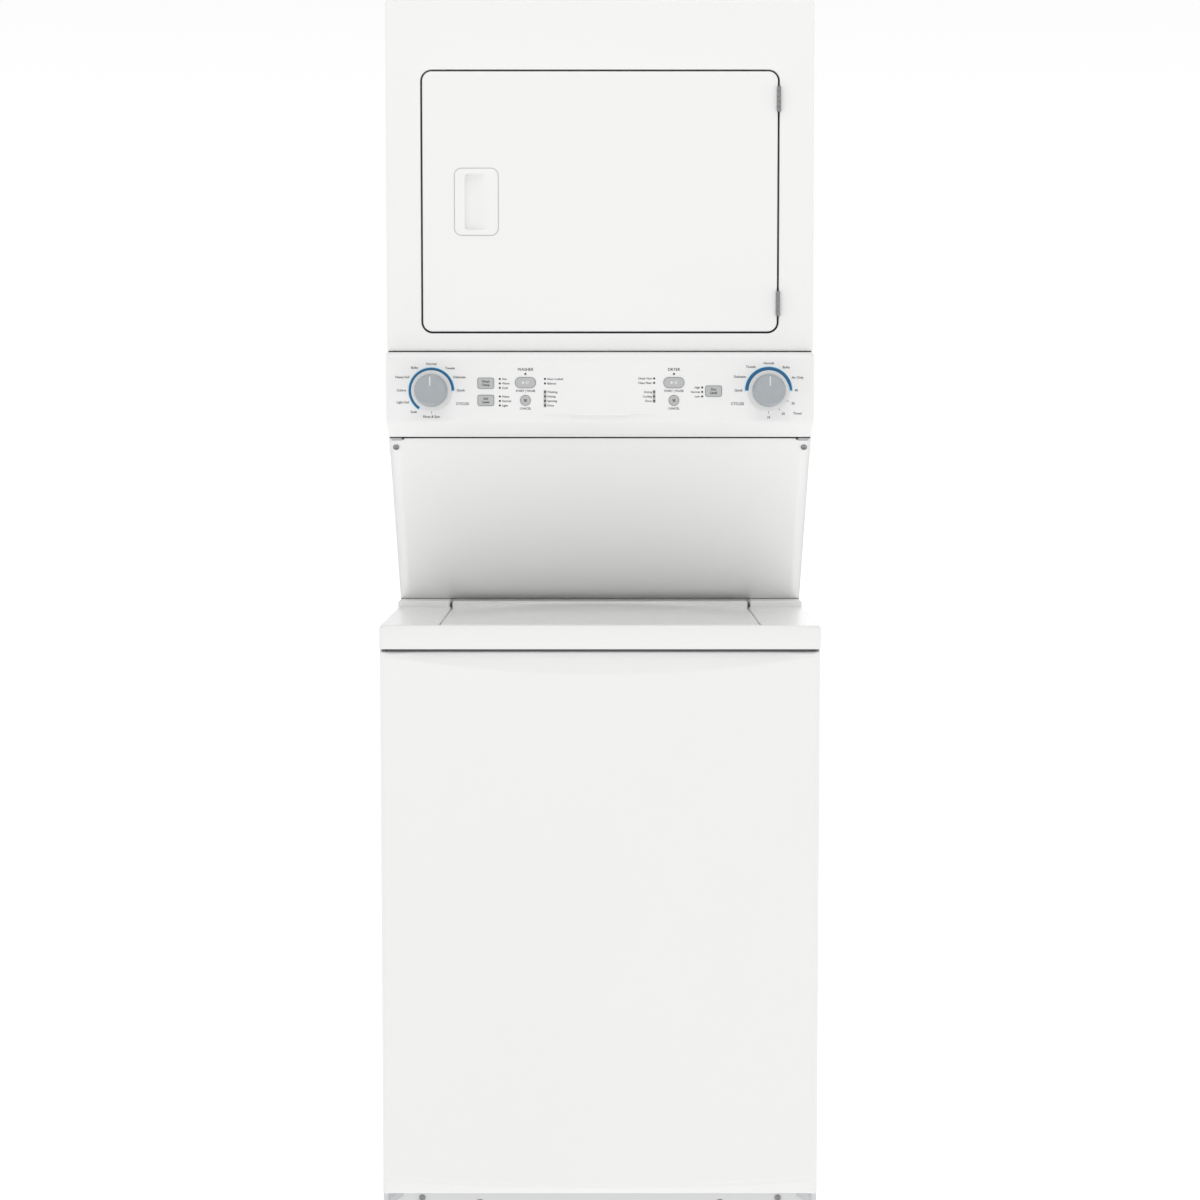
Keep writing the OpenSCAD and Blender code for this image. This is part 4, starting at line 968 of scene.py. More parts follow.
@dataclass
class WasherTop:
    """The enamelled top with its lid recess and ledge, and the lid."""

    deck: Span = node_span("top_deck")
    lid: Span = node_span("washer_lid")
    liner: Span = node_span("lid_liner")
    pin: float = 7 * MM         # how far each hinge pin stands out of the lid
    ledge: float = 10 * MM
    lid_gap: float = 1.5 * MM
    recess: float = 22 * MM
    # The mouth's width, depth, corner radius and distance behind the lid's front edge.
    mouth: tuple[float, float, float, float] = (0.410, 0.305, 0.080, 33 * MM)

    def __post_init__(self) -> None:
        """Works out the places that several methods share."""
        self.half = self.lid.high[0] - self.pin
        self.top = self.deck.high[2] - self.ledge
        self.trough = self.top - 44 * MM
        self.ledge_y = self.lid.high[1] - 41 * MM
        self.rear = self.lid.high[1] + 16 * MM

    def build(self) -> None:
        """Makes the top's pieces."""
        self.deck_skin()
        self.lid_skin()
        self.lid_underside()

    def deck_skin(self) -> None:
        """Skirt, rounded edge, flat top, lid recess and the collar into the tub, as rings joined in turn."""
        high, size = self.deck.high, self.deck.size
        gap, wall, under = self.lid_gap, 2 * MM, self.top - 8 * MM
        skirt, fold = high[2] - 47 * MM, 0.4 * MM
        front = self.lid.low[1] - gap
        outer = Outline(size[0], size[1], 10 * MM, self.deck.middle[:2])
        hole = Outline(2 * (self.half + gap), self.rear - front, 3 * MM, (0.0, (self.rear + front) / 2))
        shoulder = [(-inset, self.top - drop) for inset, drop in edge_round(6 * MM, 7)[::-1]]
        lip = [(inset, self.top - drop) for inset, drop in edge_round(2.2 * MM)]
        rings = outer.rings(Facing.TOP, [(-wall, under), (-wall, skirt), (-fold, skirt), (0.0, skirt + fold),
                                         *shoulder])
        rings += hole.rings(Facing.TOP, [*lip, (0.0, self.trough), (wall, self.trough - 0.2 * MM),
                                         (wall, under)])
        skin = Skin().loft([*rings, rings[0]], ends=False)
        self.recess_floor(skin, hole.wide, front)
        self.ledge_blocks(skin)
        skin.build("deck_skin", ENAMEL, "cabinet", "top_deck", crease=40)
        self.hinge_boots()

    def recess_floor(self, skin: Skin, span: float, front: float) -> None:
        """The floor that the lid closes onto, a rolled collar down into the tub, and the hinge trough."""
        wide, deep, corner, setback = self.mouth
        level, rear = self.top - self.recess, self.ledge_y - 9 * MM
        floor = Outline(span, rear - front, 2 * MM, (0.0, (rear + front) / 2))
        mouth = Outline(wide, deep, corner, (0.0, self.lid.low[1] + setback + deep / 2))
        rings = floor.rings(Facing.TOP, [(0.0, level - 2 * MM), (0.0, level)])
        collar = [(inset, level - drop) for inset, drop in edge_round(5 * MM, 6)]
        collar += [(grow, level - depth) for grow, depth in mm([0, 26], [2, 26], [2, 4])]
        rings += mouth.rings(Facing.TOP, collar)
        skin.loft([*rings, rings[0]], ends=False)
        trough = Outline(span, self.rear - rear, 2 * MM, (0.0, (self.rear + rear) / 2))
        skin.slab(Facing.TOP, trough, self.trough - 2 * MM, 2 * MM, 0.2 * MM)

    def ledge_blocks(self, skin: Skin) -> None:
        """Raised ledge on both sides of the lid and behind it, under the dryer."""
        back = self.deck.high[1] - 1 * MM
        side, inner, sunk = self.deck.high[0] - 2 * MM, self.half + 4.5 * MM, 3 * MM
        blocks = [Outline(side - inner, back - self.ledge_y, 2 * MM,
                          (sx * (side + inner) / 2, (back + self.ledge_y) / 2)) for sx in (-1, 1)]
        blocks.append(Outline(2 * inner + 2 * MM, back - self.rear, 1 * MM, (0.0, (back + self.rear) / 2)))
        for block in blocks:
            skin.slab(Facing.TOP, block, self.top - sunk, self.ledge + sunk, 2.5 * MM)

    def hinge_boots(self) -> None:
        """Rubber boots that fill the gaps beside the lid's hinge pins."""
        skin = Skin()
        deep, middle = self.lid.high[1] - self.ledge_y, (self.lid.high[1] + self.ledge_y) / 2
        for sx in (-1, 1):
            boot = Outline(3 * MM, deep, 1 * MM, (sx * (self.half + 2.3 * MM), middle))
            skin.slab(Facing.TOP, boot, self.top - 12 * MM, 17 * MM, 0.6 * MM)
        skin.build("lid_hinge_boots", RUBBER, "cabinet")

    def lid_skin(self) -> None:
        """The lid: a crowned sheet with a bowed raised rear edge, round edges and a skirt.

        Height over the deck is crown (1 - (x/half)^2) s(y)^2, where s runs from 0 at the front to 1 at the
        ledge; it steps up to the ledge's height over 2.6 mm behind a fine groove, and falls in a quarter
        circle at its four edges.
        """
        half, front, rear, ledge = self.half, self.lid.low[1], self.lid.high[1], self.ledge_y
        crown, edge, step, groove = 7.0 * MM, 3.0 * MM, 2.6 * MM, 0.9 * MM
        near = edge * (1 - np.cos(np.linspace(0, pi / 2, 7)))
        across = np.linspace(-half + edge, half - edge, 60)[1:-1]
        x = join([-half + near, across, half - near[::-1]])
        y = join([front + near, np.linspace(front + edge, ledge - 8 * MM, 50)[1:],
                            np.linspace(ledge - 7 * MM, ledge + 7 * MM, 41),
                            np.linspace(ledge + 8 * MM, rear - edge, 8), (rear - near[::-1])[1:]])
        gx, gy = np.meshgrid(x, y, indexing="ij")
        along = np.clip((gy - front) / (ledge - front), 0, 1)
        rise = crown * (1 - (gx / half) ** 2) * along ** 2
        rise = rise + (self.ledge - 0.4 * MM - rise) * bend((gy - ledge + step / 2) / step)
        rise = rise - groove * np.exp(-((gy - ledge + 2.2 * MM) / (0.8 * MM)) ** 2)
        to_side = np.minimum(half - np.abs(gx), np.minimum(gy - front, rear - gy))
        fall = edge * (1 - np.sqrt(1 - np.clip(1 - to_side / edge, 0, 1) ** 2))
        top = np.stack([gx, gy, self.top - 0.2 * MM + rise - fall], -1)
        rim = border_of(top)
        foot = rim.copy()
        foot[:, 2] = np.where(rim[:, 1] > ledge - 5 * MM, self.top - 12 * MM, self.lid.low[2])
        skin = Skin().patch(top).patch(np.stack([rim, foot]), wrap_v=True)
        skin.sheet("lid_skin", ENAMEL, "lid", "washer_lid", 1 * MM, crease=45)
        pins = Skin()
        for sx in (-1, 1):
            profile = mm([0, -3], [3.2, -3], [4, -2.2], [4, 6.2], [3.2, 7], [0, 7]) * np.array([1, sx])
            pins.turned(profile, (sx * half, ledge + 13 * MM, self.top - 10 * MM), axis=0, steps=32)
        pins.build("lid_pins", STEEL, "lid", "washer_lid")

    def lid_underside(self) -> None:
        """The moulded liner with a dished middle, and four bumpers on it."""
        low, high = self.liner.low, self.liner.high
        wide, deep = high[0] - low[0] - 1 * MM, high[1] - low[1] - 1 * MM
        centre = tuple(self.liner.middle[:2])
        rows = [(0.0, high[2]), *(mm([0, 1], [1, 0], [26, 0], [30, 3.2], [60, 4]) + np.array([0, low[2]]))]
        rings = [Facing.TOP.place(rounded(wide - 2 * i, deep - 2 * i, 5 * MM + i * 0.9, centre), z, 0.0)
                 for i, z in rows]
        Skin().loft(rings).build("liner_moulding", TUB_WHITE, "lid", "lid_liner", crease=25)
        bumpers = Skin()
        bumper = mm([0, -2.4], [3, -2.4], [4.4, -1.6], [5, 0], [5, 0.4], [0, 0.4])
        for sx in (-1, 1):
            for y in (low[1] + 9 * MM, high[1] - 9 * MM):
                bumpers.turned(bumper, (sx * (high[0] - 12 * MM), y, low[2]), steps=24)
        bumpers.build("lid_bumpers", RUBBER, "lid")


@dataclass
class WasherWorks:
    """Tub, basket, agitator, drive and plumbing inside the washer."""

    tub: Span = node_span("outer_tub")
    cover: Span = node_span("tub_cover")
    basket: Span = node_span("wash_basket")
    ring: Span = node_span("balance_ring")
    agitator: Span = node_span("agitator")
    springs: Span = node_span("suspension_springs")

    def __post_init__(self) -> None:
        """Works out the axis that everything turns about."""
        self.axis = np.array([0.0, self.basket.middle[1], 0.0])

    def build(self) -> None:
        """Makes the inner pieces."""
        soften("outer_tub", TUB_GREY, 1.0 * MM)
        self.tub_ribs()
        self.tub_cover_ring()
        self.basket_sheet()
        self.balance_ring()
        self.agitator_body()
        self.coils()
        soften_all(("suspension_rods", ZINC, 0.5), ("gearcase", ALLOY, 2.0), ("washer_motor", MOTOR, 2.0),
                   ("washer_belt", RUBBER, 0.4), ("tub_pulley", ALLOY, 0.8), ("motor_pulley", STEEL, 0.6),
                   ("drain_pump", RUBBER, 1.5), ("inlet_valve", VALVE, 1.0))

    def tub_ribs(self) -> None:
        """Hoops and uprights moulded round the outer tub, whose radius is 3 mm less than its cover's."""
        skin = Skin()
        radius = self.cover.size[0] / 2 - 3 * MM
        low, high = self.tub.low[2] + 4 * MM, self.tub.high[2]
        hoop = mm([-0.5, -2], [5, -1.4], [5, 1.4], [-0.5, 2], [-0.5, -2]) + (radius, 0)
        for z in np.linspace(low + 60 * MM, high - 40 * MM, 4):
            skin.turned(hoop, self.axis + (0, 0, z), steps=128)
        for turn in np.radians(np.arange(0, 360, 22.5) + 11.25):
            out = np.array([cos(turn), sin(turn), 0.0])
            side = np.array([-sin(turn), cos(turn), 0.0]) * 1.5 * MM
            foot = self.axis + out * (radius - 0.5 * MM)
            tip = self.axis + out * (radius + 4.5 * MM)
            skin.loft([np.array([foot - side, tip - side, tip + side, foot + side]) + (0, 0, z)
                       for z in (low + 4 * MM, high - 12 * MM)])
        skin.build("tub_ribs", TUB_GREY, "tub")

    def tub_cover_ring(self) -> None:
        """The cover: a flat ring with a rolled mouth and a turned-down rim."""
        mouth = 214 * MM
        foot = self.cover.low[2]
        rim = mm([0, 0], [0, 2], [-1, 3]) + np.array([self.cover.size[0] / 2, foot])
        slope = mm([34, 3], [22, 6], [6, 8]) + (mouth, foot)
        roll = mm([3, -1], [2, 0], [0, -1]) + np.array([mouth, self.cover.high[2]])
        under = mm([0, 2], [3, 0]) + (mouth, foot)
        skin = Skin().turned(looped(join([rim, slope, roll, under])), self.axis, steps=128)
        skin.build("cover_ring", TUB_GREY, "tub", "tub_cover")

    def basket_sheet(self) -> None:
        """Perforated wall, dished floor and drive hub.

        The unit square of the perforated sheet is wrapped on the wall: u turns once round, v climbs.
        """
        radius = self.basket.size[0] / 2
        hub_top = self.ring.low[2]
        floor_z = hub_top - 525 * MM
        points, faces = perforated(96, 30, 0.34)
        angle = points[:, 0] * 2 * pi
        z = floor_z + 26 * MM + points[:, 1] * (hub_top - floor_z - 34 * MM)
        wall = np.stack([radius * np.cos(angle), radius * np.sin(angle), z], -1) + self.axis
        skin = Skin().keep(wall, [faces])
        skin.turned(np.array([[radius, hub_top - 8 * MM], [radius, hub_top]]), self.axis, steps=192)
        bowl = mm([-24, 1], [-10, 4], [-2, 12], [0, 26]) + (radius, floor_z)
        flat = mm([13, 1], [60, 1], [150, 1]) + (0, floor_z)
        skin.turned(join([flat, bowl]), self.axis, steps=192)
        skin.sheet("basket_sheet", BASKET_STEEL, "basket", "wash_basket", 0.8 * MM)
        hub = mm([8.2, 0], [12.4, 0], [12.4, 88], [40, 90], [40, 92], [30, 96], [8.2, 97])
        hub = looped(hub + np.array([0, self.basket.low[2]]))
        Skin().turned(hub, self.axis, steps=64).build("basket_hub", ALLOY, "basket", "wash_basket")

    def balance_ring(self) -> None:
        """A hollow ring with round shoulders and a welded seam round its top."""
        low, high, outer = self.ring.low[2], self.ring.high[2], self.ring.size[0] / 2
        inner = outer - 44 * MM
        profile = join([
            mm([-6, 0], [-1.5, 2], [0, 6]) + (outer, low),
            mm([0, -8], [-2, -3], [-8, 0]) + (outer, high),
            mm([-18, 0], [-19, -1], [-21, -1], [-22, 0]) + (outer, high),
            mm([7, 0], [2, -2], [0, -8]) + (inner, high),
            mm([0, 7], [2, 2], [6, 0]) + (inner, low)])
        skin = Skin().turned(looped(profile), self.axis, steps=128)
        skin.build("balance_hoop", TUB_WHITE, "basket", "balance_ring")

    def agitator_body(self) -> None:
        """Skirted post with four curved paddles and a spiral fin.

        A paddle is a fan of radii from the post to the skirt whose angle lags with height. The fin is a
        narrow helicoid: radius from post to tip, angle proportional to height.
        """
        low, top, skirt = self.agitator.low[2], self.agitator.high[2], self.agitator.size[0] / 2
        foot = low + 100 * MM
        knots = mm([0, 0], [0, 5], [118, 14], [88, 29], [66, 52], [53, 78], [46, 110], [42, 160], [40, 290],
                   [38, 0])
        knots[:2, 0], knots[-1, 1] = skirt, top - foot - 14 * MM
        wall = np.stack([np.interp(np.linspace(0, 9, 90), np.arange(10), column) for column in knots.T], -1)
        kernel = np.ones(9) / 9
        for column in wall.T:
            column[6:-6] = np.convolve(column, kernel, "same")[6:-6]
        wall[:, 1] += foot
        cap = mm([36, -9], [31, -4], [22, -1], [0, 0]) + (0, top)
        base = np.array([[0.0, foot + 40 * MM], [40 * MM, foot + 36 * MM], [skirt - 20 * MM, foot + 1 * MM]])
        skin = Skin().turned(join([base, wall, cap]), self.axis, steps=96)
        for k in range(4):
            skin.loft(self.paddle(k * pi / 2 + pi / 4, foot, skirt))
        skin.loft(self.fin(foot + 150 * MM, top - 60 * MM))
        shaft_top = foot + 42 * MM
        shaft = np.array([[0.0, low], [8 * MM, low], [8 * MM, shaft_top], [0.0, shaft_top]])
        skin.turned(shaft, self.axis, steps=32)
        skin.build("agitator_moulding", TUB_WHITE, "agitator", "agitator", crease=40)

    def paddle(self, turn: float, foot: float, skirt: float) -> list[Array]:
        """Rings across one paddle, from the post out to the skirt."""
        rings = []
        for share in np.linspace(0, 1, 12):
            radius = 42 * MM + share * (skirt - 52 * MM)
            low = foot + (1 - share) ** 2 * 45 * MM + 4 * MM
            high = foot + 112 * MM * (1 - share ** 1.6) + 24 * MM
            half = (4.5 - 2.5 * share) * MM
            z = np.array([low, high - half, high, high, high - half, low])
            off = half * np.array([-1, -1, -0.4, 0.4, 1, 1])
            lean = turn + 0.5 * share
            rings.append(self.axis + np.stack([radius * cos(lean) - off * sin(lean),
                                               radius * sin(lean) + off * cos(lean), z], -1))
        return rings

    def fin(self, low: float, high: float) -> list[Array]:
        """Rings along the spiral fin, each a thin wedge standing out of the post."""
        turns, post = 2.6, 36 * MM
        rise = np.array([-3.5, -1.2, 1.2, 3.5]) * MM
        rings = []
        for share in np.linspace(0, 1, 90):
            angle = share * turns * 2 * pi
            tip = 38 * MM + 30 * MM * sin(pi * min(max(share, 0.02), 0.98)) ** 0.35
            radii = np.array([post, tip, tip, post])
            rings.append(self.axis + np.stack([radii * cos(angle), radii * sin(angle),
                                               low + share * (high - low) + rise], -1))
        return rings

    def coils(self) -> None:
        """Four coil springs under the tub's ears, each a tube along a helix with flattened ends."""
        radius, wire, turns, travel = 11.2 * MM, 1.9 * MM, 5.5, 15 * MM
        low, high = self.springs.low[2] + wire, self.springs.high[2] - wire
        reach = self.springs.high[0] - 13.4 * MM
        share = np.linspace(0, 1, 260)
        climb = low + (high - low) * (0.35 * bend(share) + 0.65 * share)
        angle = share * turns * 2 * pi
        helix = self.axis + np.stack([radius * np.cos(angle), radius * np.sin(angle), climb], -1)
        skin = Skin()
        for sx in (-1, 1):
            for sy in (-1, 1):
                skin.tube(helix + (sx * reach, sy * reach, 0), wire, sides=10)
        piece = skin.build("coil_springs", STEEL, "cabinet", "suspension_springs")
        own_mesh(piece)


# ---------------------------------------------------------------- dryer

@dataclass
class DryerCabinet:
    """The dryer's wrapped cabinet, front frame, rear panel and leaning panel."""

    shell: Span = node_span("dryer_cabinet")
    front: Span = node_span("dryer_front_panel")
    rear: Span = node_span("rear_panel")
    slope: Span = node_span("sloped_panel")
    door: Span = node_span("door_outer")
    console: Span = node_span("console_fascia")
    duct: Span = node_span("exhaust_duct")
    wall: float = 1 * MM
    door_gap: float = 3 * MM
    door_corner: float = 18 * MM
    throat: tuple[float, float, float] = (0.450, 0.315, 0.060)

    def build(self) -> None:
        """Makes the cabinet's pieces."""
        self.wrap()
        self.front_frame()
        self.rear_sheet()
        self.leaning_panel()
        self.corner_brackets()
        soften_all(("drum_bulkhead", ZINC, 0.5), ("dryer_base", ZINC, 0.5), ("terminal_cover", ZINC, 0.7),
                   ("door_catch", FAN_GREY, 0.8))
        # The screws take the darkened steel, whose colour paints in dark reflections.
        paint("panel_screws", DARK_REFLECTION_STEEL)

    def wrap(self) -> None:
        """Sides and top as one sheet over an arch, its front edge following panel, console and slope.

        The sheet runs along an upside-down U in X and Z, and back along Y from a front edge y(z).
        """
        half, low, high, rear = self.shell.high[0], self.shell.low[2], self.shell.high[2], self.shell.high[1]
        turn_r, face = 7 * MM, self.front.low[1] + 18 * MM
        step_low, step_high = self.slope.high[2], self.front.low[2]
        lower = np.linspace(low, step_low + 7 * MM, 20)
        middle = np.linspace(step_low + 7.2 * MM, step_high, 6)
        upper = np.linspace(step_high + 0.2 * MM, high - turn_r, 30)
        slope_y = np.interp(lower, [self.slope.low[2], step_low], [self.foot_of_slope(), self.slope.low[1]])
        angle = np.linspace(0, pi / 2, 8)[1:]
        x = join([np.full(56, half), half - turn_r + turn_r * np.cos(angle)])
        z = join([lower, middle, upper, high - turn_r + turn_r * np.sin(angle)])
        start = join([slope_y, np.full(6, self.console.high[1]), np.full(37, face)])
        x = join([x, -x[::-1]])
        z, start = (join([row, row[::-1]]) for row in (z, start))
        y = start[:, None] + (rear - start[:, None]) * np.linspace(0, 1, 24)
        grid = np.stack([np.broadcast_to(x[:, None], y.shape), y, np.broadcast_to(z[:, None], y.shape)], -1)
        Skin().patch(grid, flip=True).sheet("dryer_wrap", ENAMEL, "cabinet", "dryer_cabinet", self.wall)

    def foot_of_slope(self) -> float:
        """Where the leaning panel's face meets its foot, one flange in front of its rear edge."""
        return self.slope.high[1] - 24 * MM

    def front_frame(self) -> None:
        """Rounded outer edge, flat face, lipped door recess, sealing flange and throat, as joined rings."""
        low, high = self.front.low, self.front.high
        face, flange = low[1], high[1] - low[1]
        hub = (0.0, self.door.middle[2])
        outer = Outline(high[0] - low[0], high[2] - low[2], 5 * MM, (0.0, self.front.middle[2]))
        inner = Outline(self.door.size[0] + 2 * self.door_gap, self.door.size[2] + 2 * self.door_gap,
                        self.door_corner, hub)
        neck = Outline(*self.throat, hub)
        rings = outer.rings(Facing.BACK, [(-12 * MM, 18 * MM), (0.0, 18 * MM),
                                          *[(-i, d) for i, d in edge_round(4 * MM, 7)[::-1]]], face)
        rings += inner.rings(Facing.BACK, [*edge_round(1.6 * MM), (0.0, flange - 2 * MM),
                                           (-2 * MM, flange - 0.6 * MM)], face)
        rings += neck.rings(Facing.BACK, mm([4, -0.6], [1, -0.3], [0, 0]) + (0, flange), face)
        skin = Skin().patch(np.stack(rings), wrap_v=True, flip=True)
        skin.sheet("front_frame", ENAMEL, "cabinet", "dryer_front_panel", 0.6 * MM)
        # Painted shadow: a black ring on the flange behind the door's gap, so that the gap round the door
        # shows as a dark line.
        section = mm([-0.4, -0.7], [-0.4, -2.7], [-8, -2.7], [-8, -0.7]) + (0, flange)
        strip = np.stack(inner.rings(Facing.BACK, section, face))
        Skin().patch(strip, wrap_u=True, wrap_v=True).build("door_gap_painted_shadow_ring", RUBBER, "cabinet")

    def rear_sheet(self) -> None:
        """Rear panel with pressed ribs and a hole for the exhaust pipe."""
        low, high = self.rear.low, self.rear.high
        middle_z = self.door.middle[2]
        x, z = np.linspace(low[0], high[0], 110), np.linspace(low[2], high[2], 150)
        gx, gz = np.meshgrid(x, z, indexing="ij")
        ring = np.hypot(gx, gz - middle_z)
        rise = bend((0.285 - ring) / (10 * MM)) * bend((ring - 0.06) / (10 * MM)) * 4 * MM
        for across, foot, top, depth in (((-0.26, 0.09), low[2] + 60 * MM, low[2] + 110 * MM, 3 * MM),
                                         ((-0.28, 0.28), high[2] - 24 * MM, high[2] - 12 * MM, 2 * MM)):
            rise = rise + WasherCabinet.pressing(gx, gz, across, (foot, top)) * depth
        grid = np.stack([gx, high[1] + rise, gz], -1)
        piece = Skin().patch(grid, flip=True).sheet("rear_sheet", ZINC, "cabinet", "rear_panel", self.wall)
        bake_modifiers(piece)
        pipe_r, reach = 51.2 * MM, 20 * MM
        hub = (self.duct.middle[0], high[1], self.duct.high[2] - 50.8 * MM)
        pipe = np.array([[0, -reach], [pipe_r, -reach], [pipe_r, reach], [0, reach]])
        carve(piece, Skin().turned(pipe, hub, axis=1, steps=64))
        dress(piece, ZINC, "cabinet", 40)
        self.vents(middle_z)

    def vents(self, middle_z: float) -> None:
        """Rows of hooded air slots in the middle of the rear panel's upper half."""
        skin = Skin()
        for row in range(6):
            for column in range(-3, 4):
                centre = (column * 13.2 * MM, middle_z - 30 * MM + row * 12 * MM)
                slot = Outline(10 * MM, 5 * MM, 2.4 * MM, centre)
                skin.slab(Facing.BACK, slot, self.rear.high[1] - 0.1 * MM, 2.2 * MM, 1.6 * MM)
        skin.build("air_slots", DARK_ZINC, "cabinet")

    def leaning_panel(self) -> None:
        """Sheet that leans forward from the deck to the console, with rolled hems at both ends."""
        half = self.slope.high[0]
        foot = np.array([self.foot_of_slope(), self.slope.low[2]])
        head = np.array([self.slope.low[1], self.slope.high[2]])
        length = np.linalg.norm(head - foot)
        run = (head - foot) / length
        into = np.array([run[1], -run[0]])
        hem = 2.0 * MM
        bow = run * hem * 0.3, into * 0.4 * MM
        line = join([foot + mm([22, 0.6], [2, 0.6]), [foot + bow[0] + bow[1]],
                               foot + run * np.linspace(hem, length - hem, 30)[:, None],
                               [head - bow[0] + bow[1]], head + mm([2, -0.3], [22, -0.3])])
        x = np.linspace(-half, half, 40)
        grid = np.empty((len(line), len(x), 3))
        grid[..., 0], grid[..., 1], grid[..., 2] = x, line[:, :1], line[:, 1:]
        Skin().patch(grid, flip=True).sheet("leaning_sheet", ENAMEL, "cabinet", "sloped_panel", 0.8 * MM)

    def corner_brackets(self) -> None:
        """Small plated brackets that hang the console's ends over the leaning panel, and their screws."""
        skin, screws = Skin(), Skin()
        z, y = self.slope.high[2] - 1.5 * MM, self.slope.low[1]
        screw = mm([0, 3], [1.8, 3], [1.8, -2.6], [1.2, -3.2], [0, -3.2])
        for sx in (-1, 1):
            bracket = Outline(17 * MM, 5 * MM, 1.2 * MM, (sx * (self.slope.high[0] - 11 * MM), z))
            skin.slab(Facing.FRONT, bracket, y + 2 * MM, 5 * MM, 0.8 * MM)
            screws.turned(screw, (sx * (self.slope.high[0] - 21.5 * MM), y, z + 0.6 * MM), axis=1, steps=20)
        skin.build("console_brackets", ZINC, "cabinet")
        screws.build("bracket_screws", RUBBER, "cabinet")


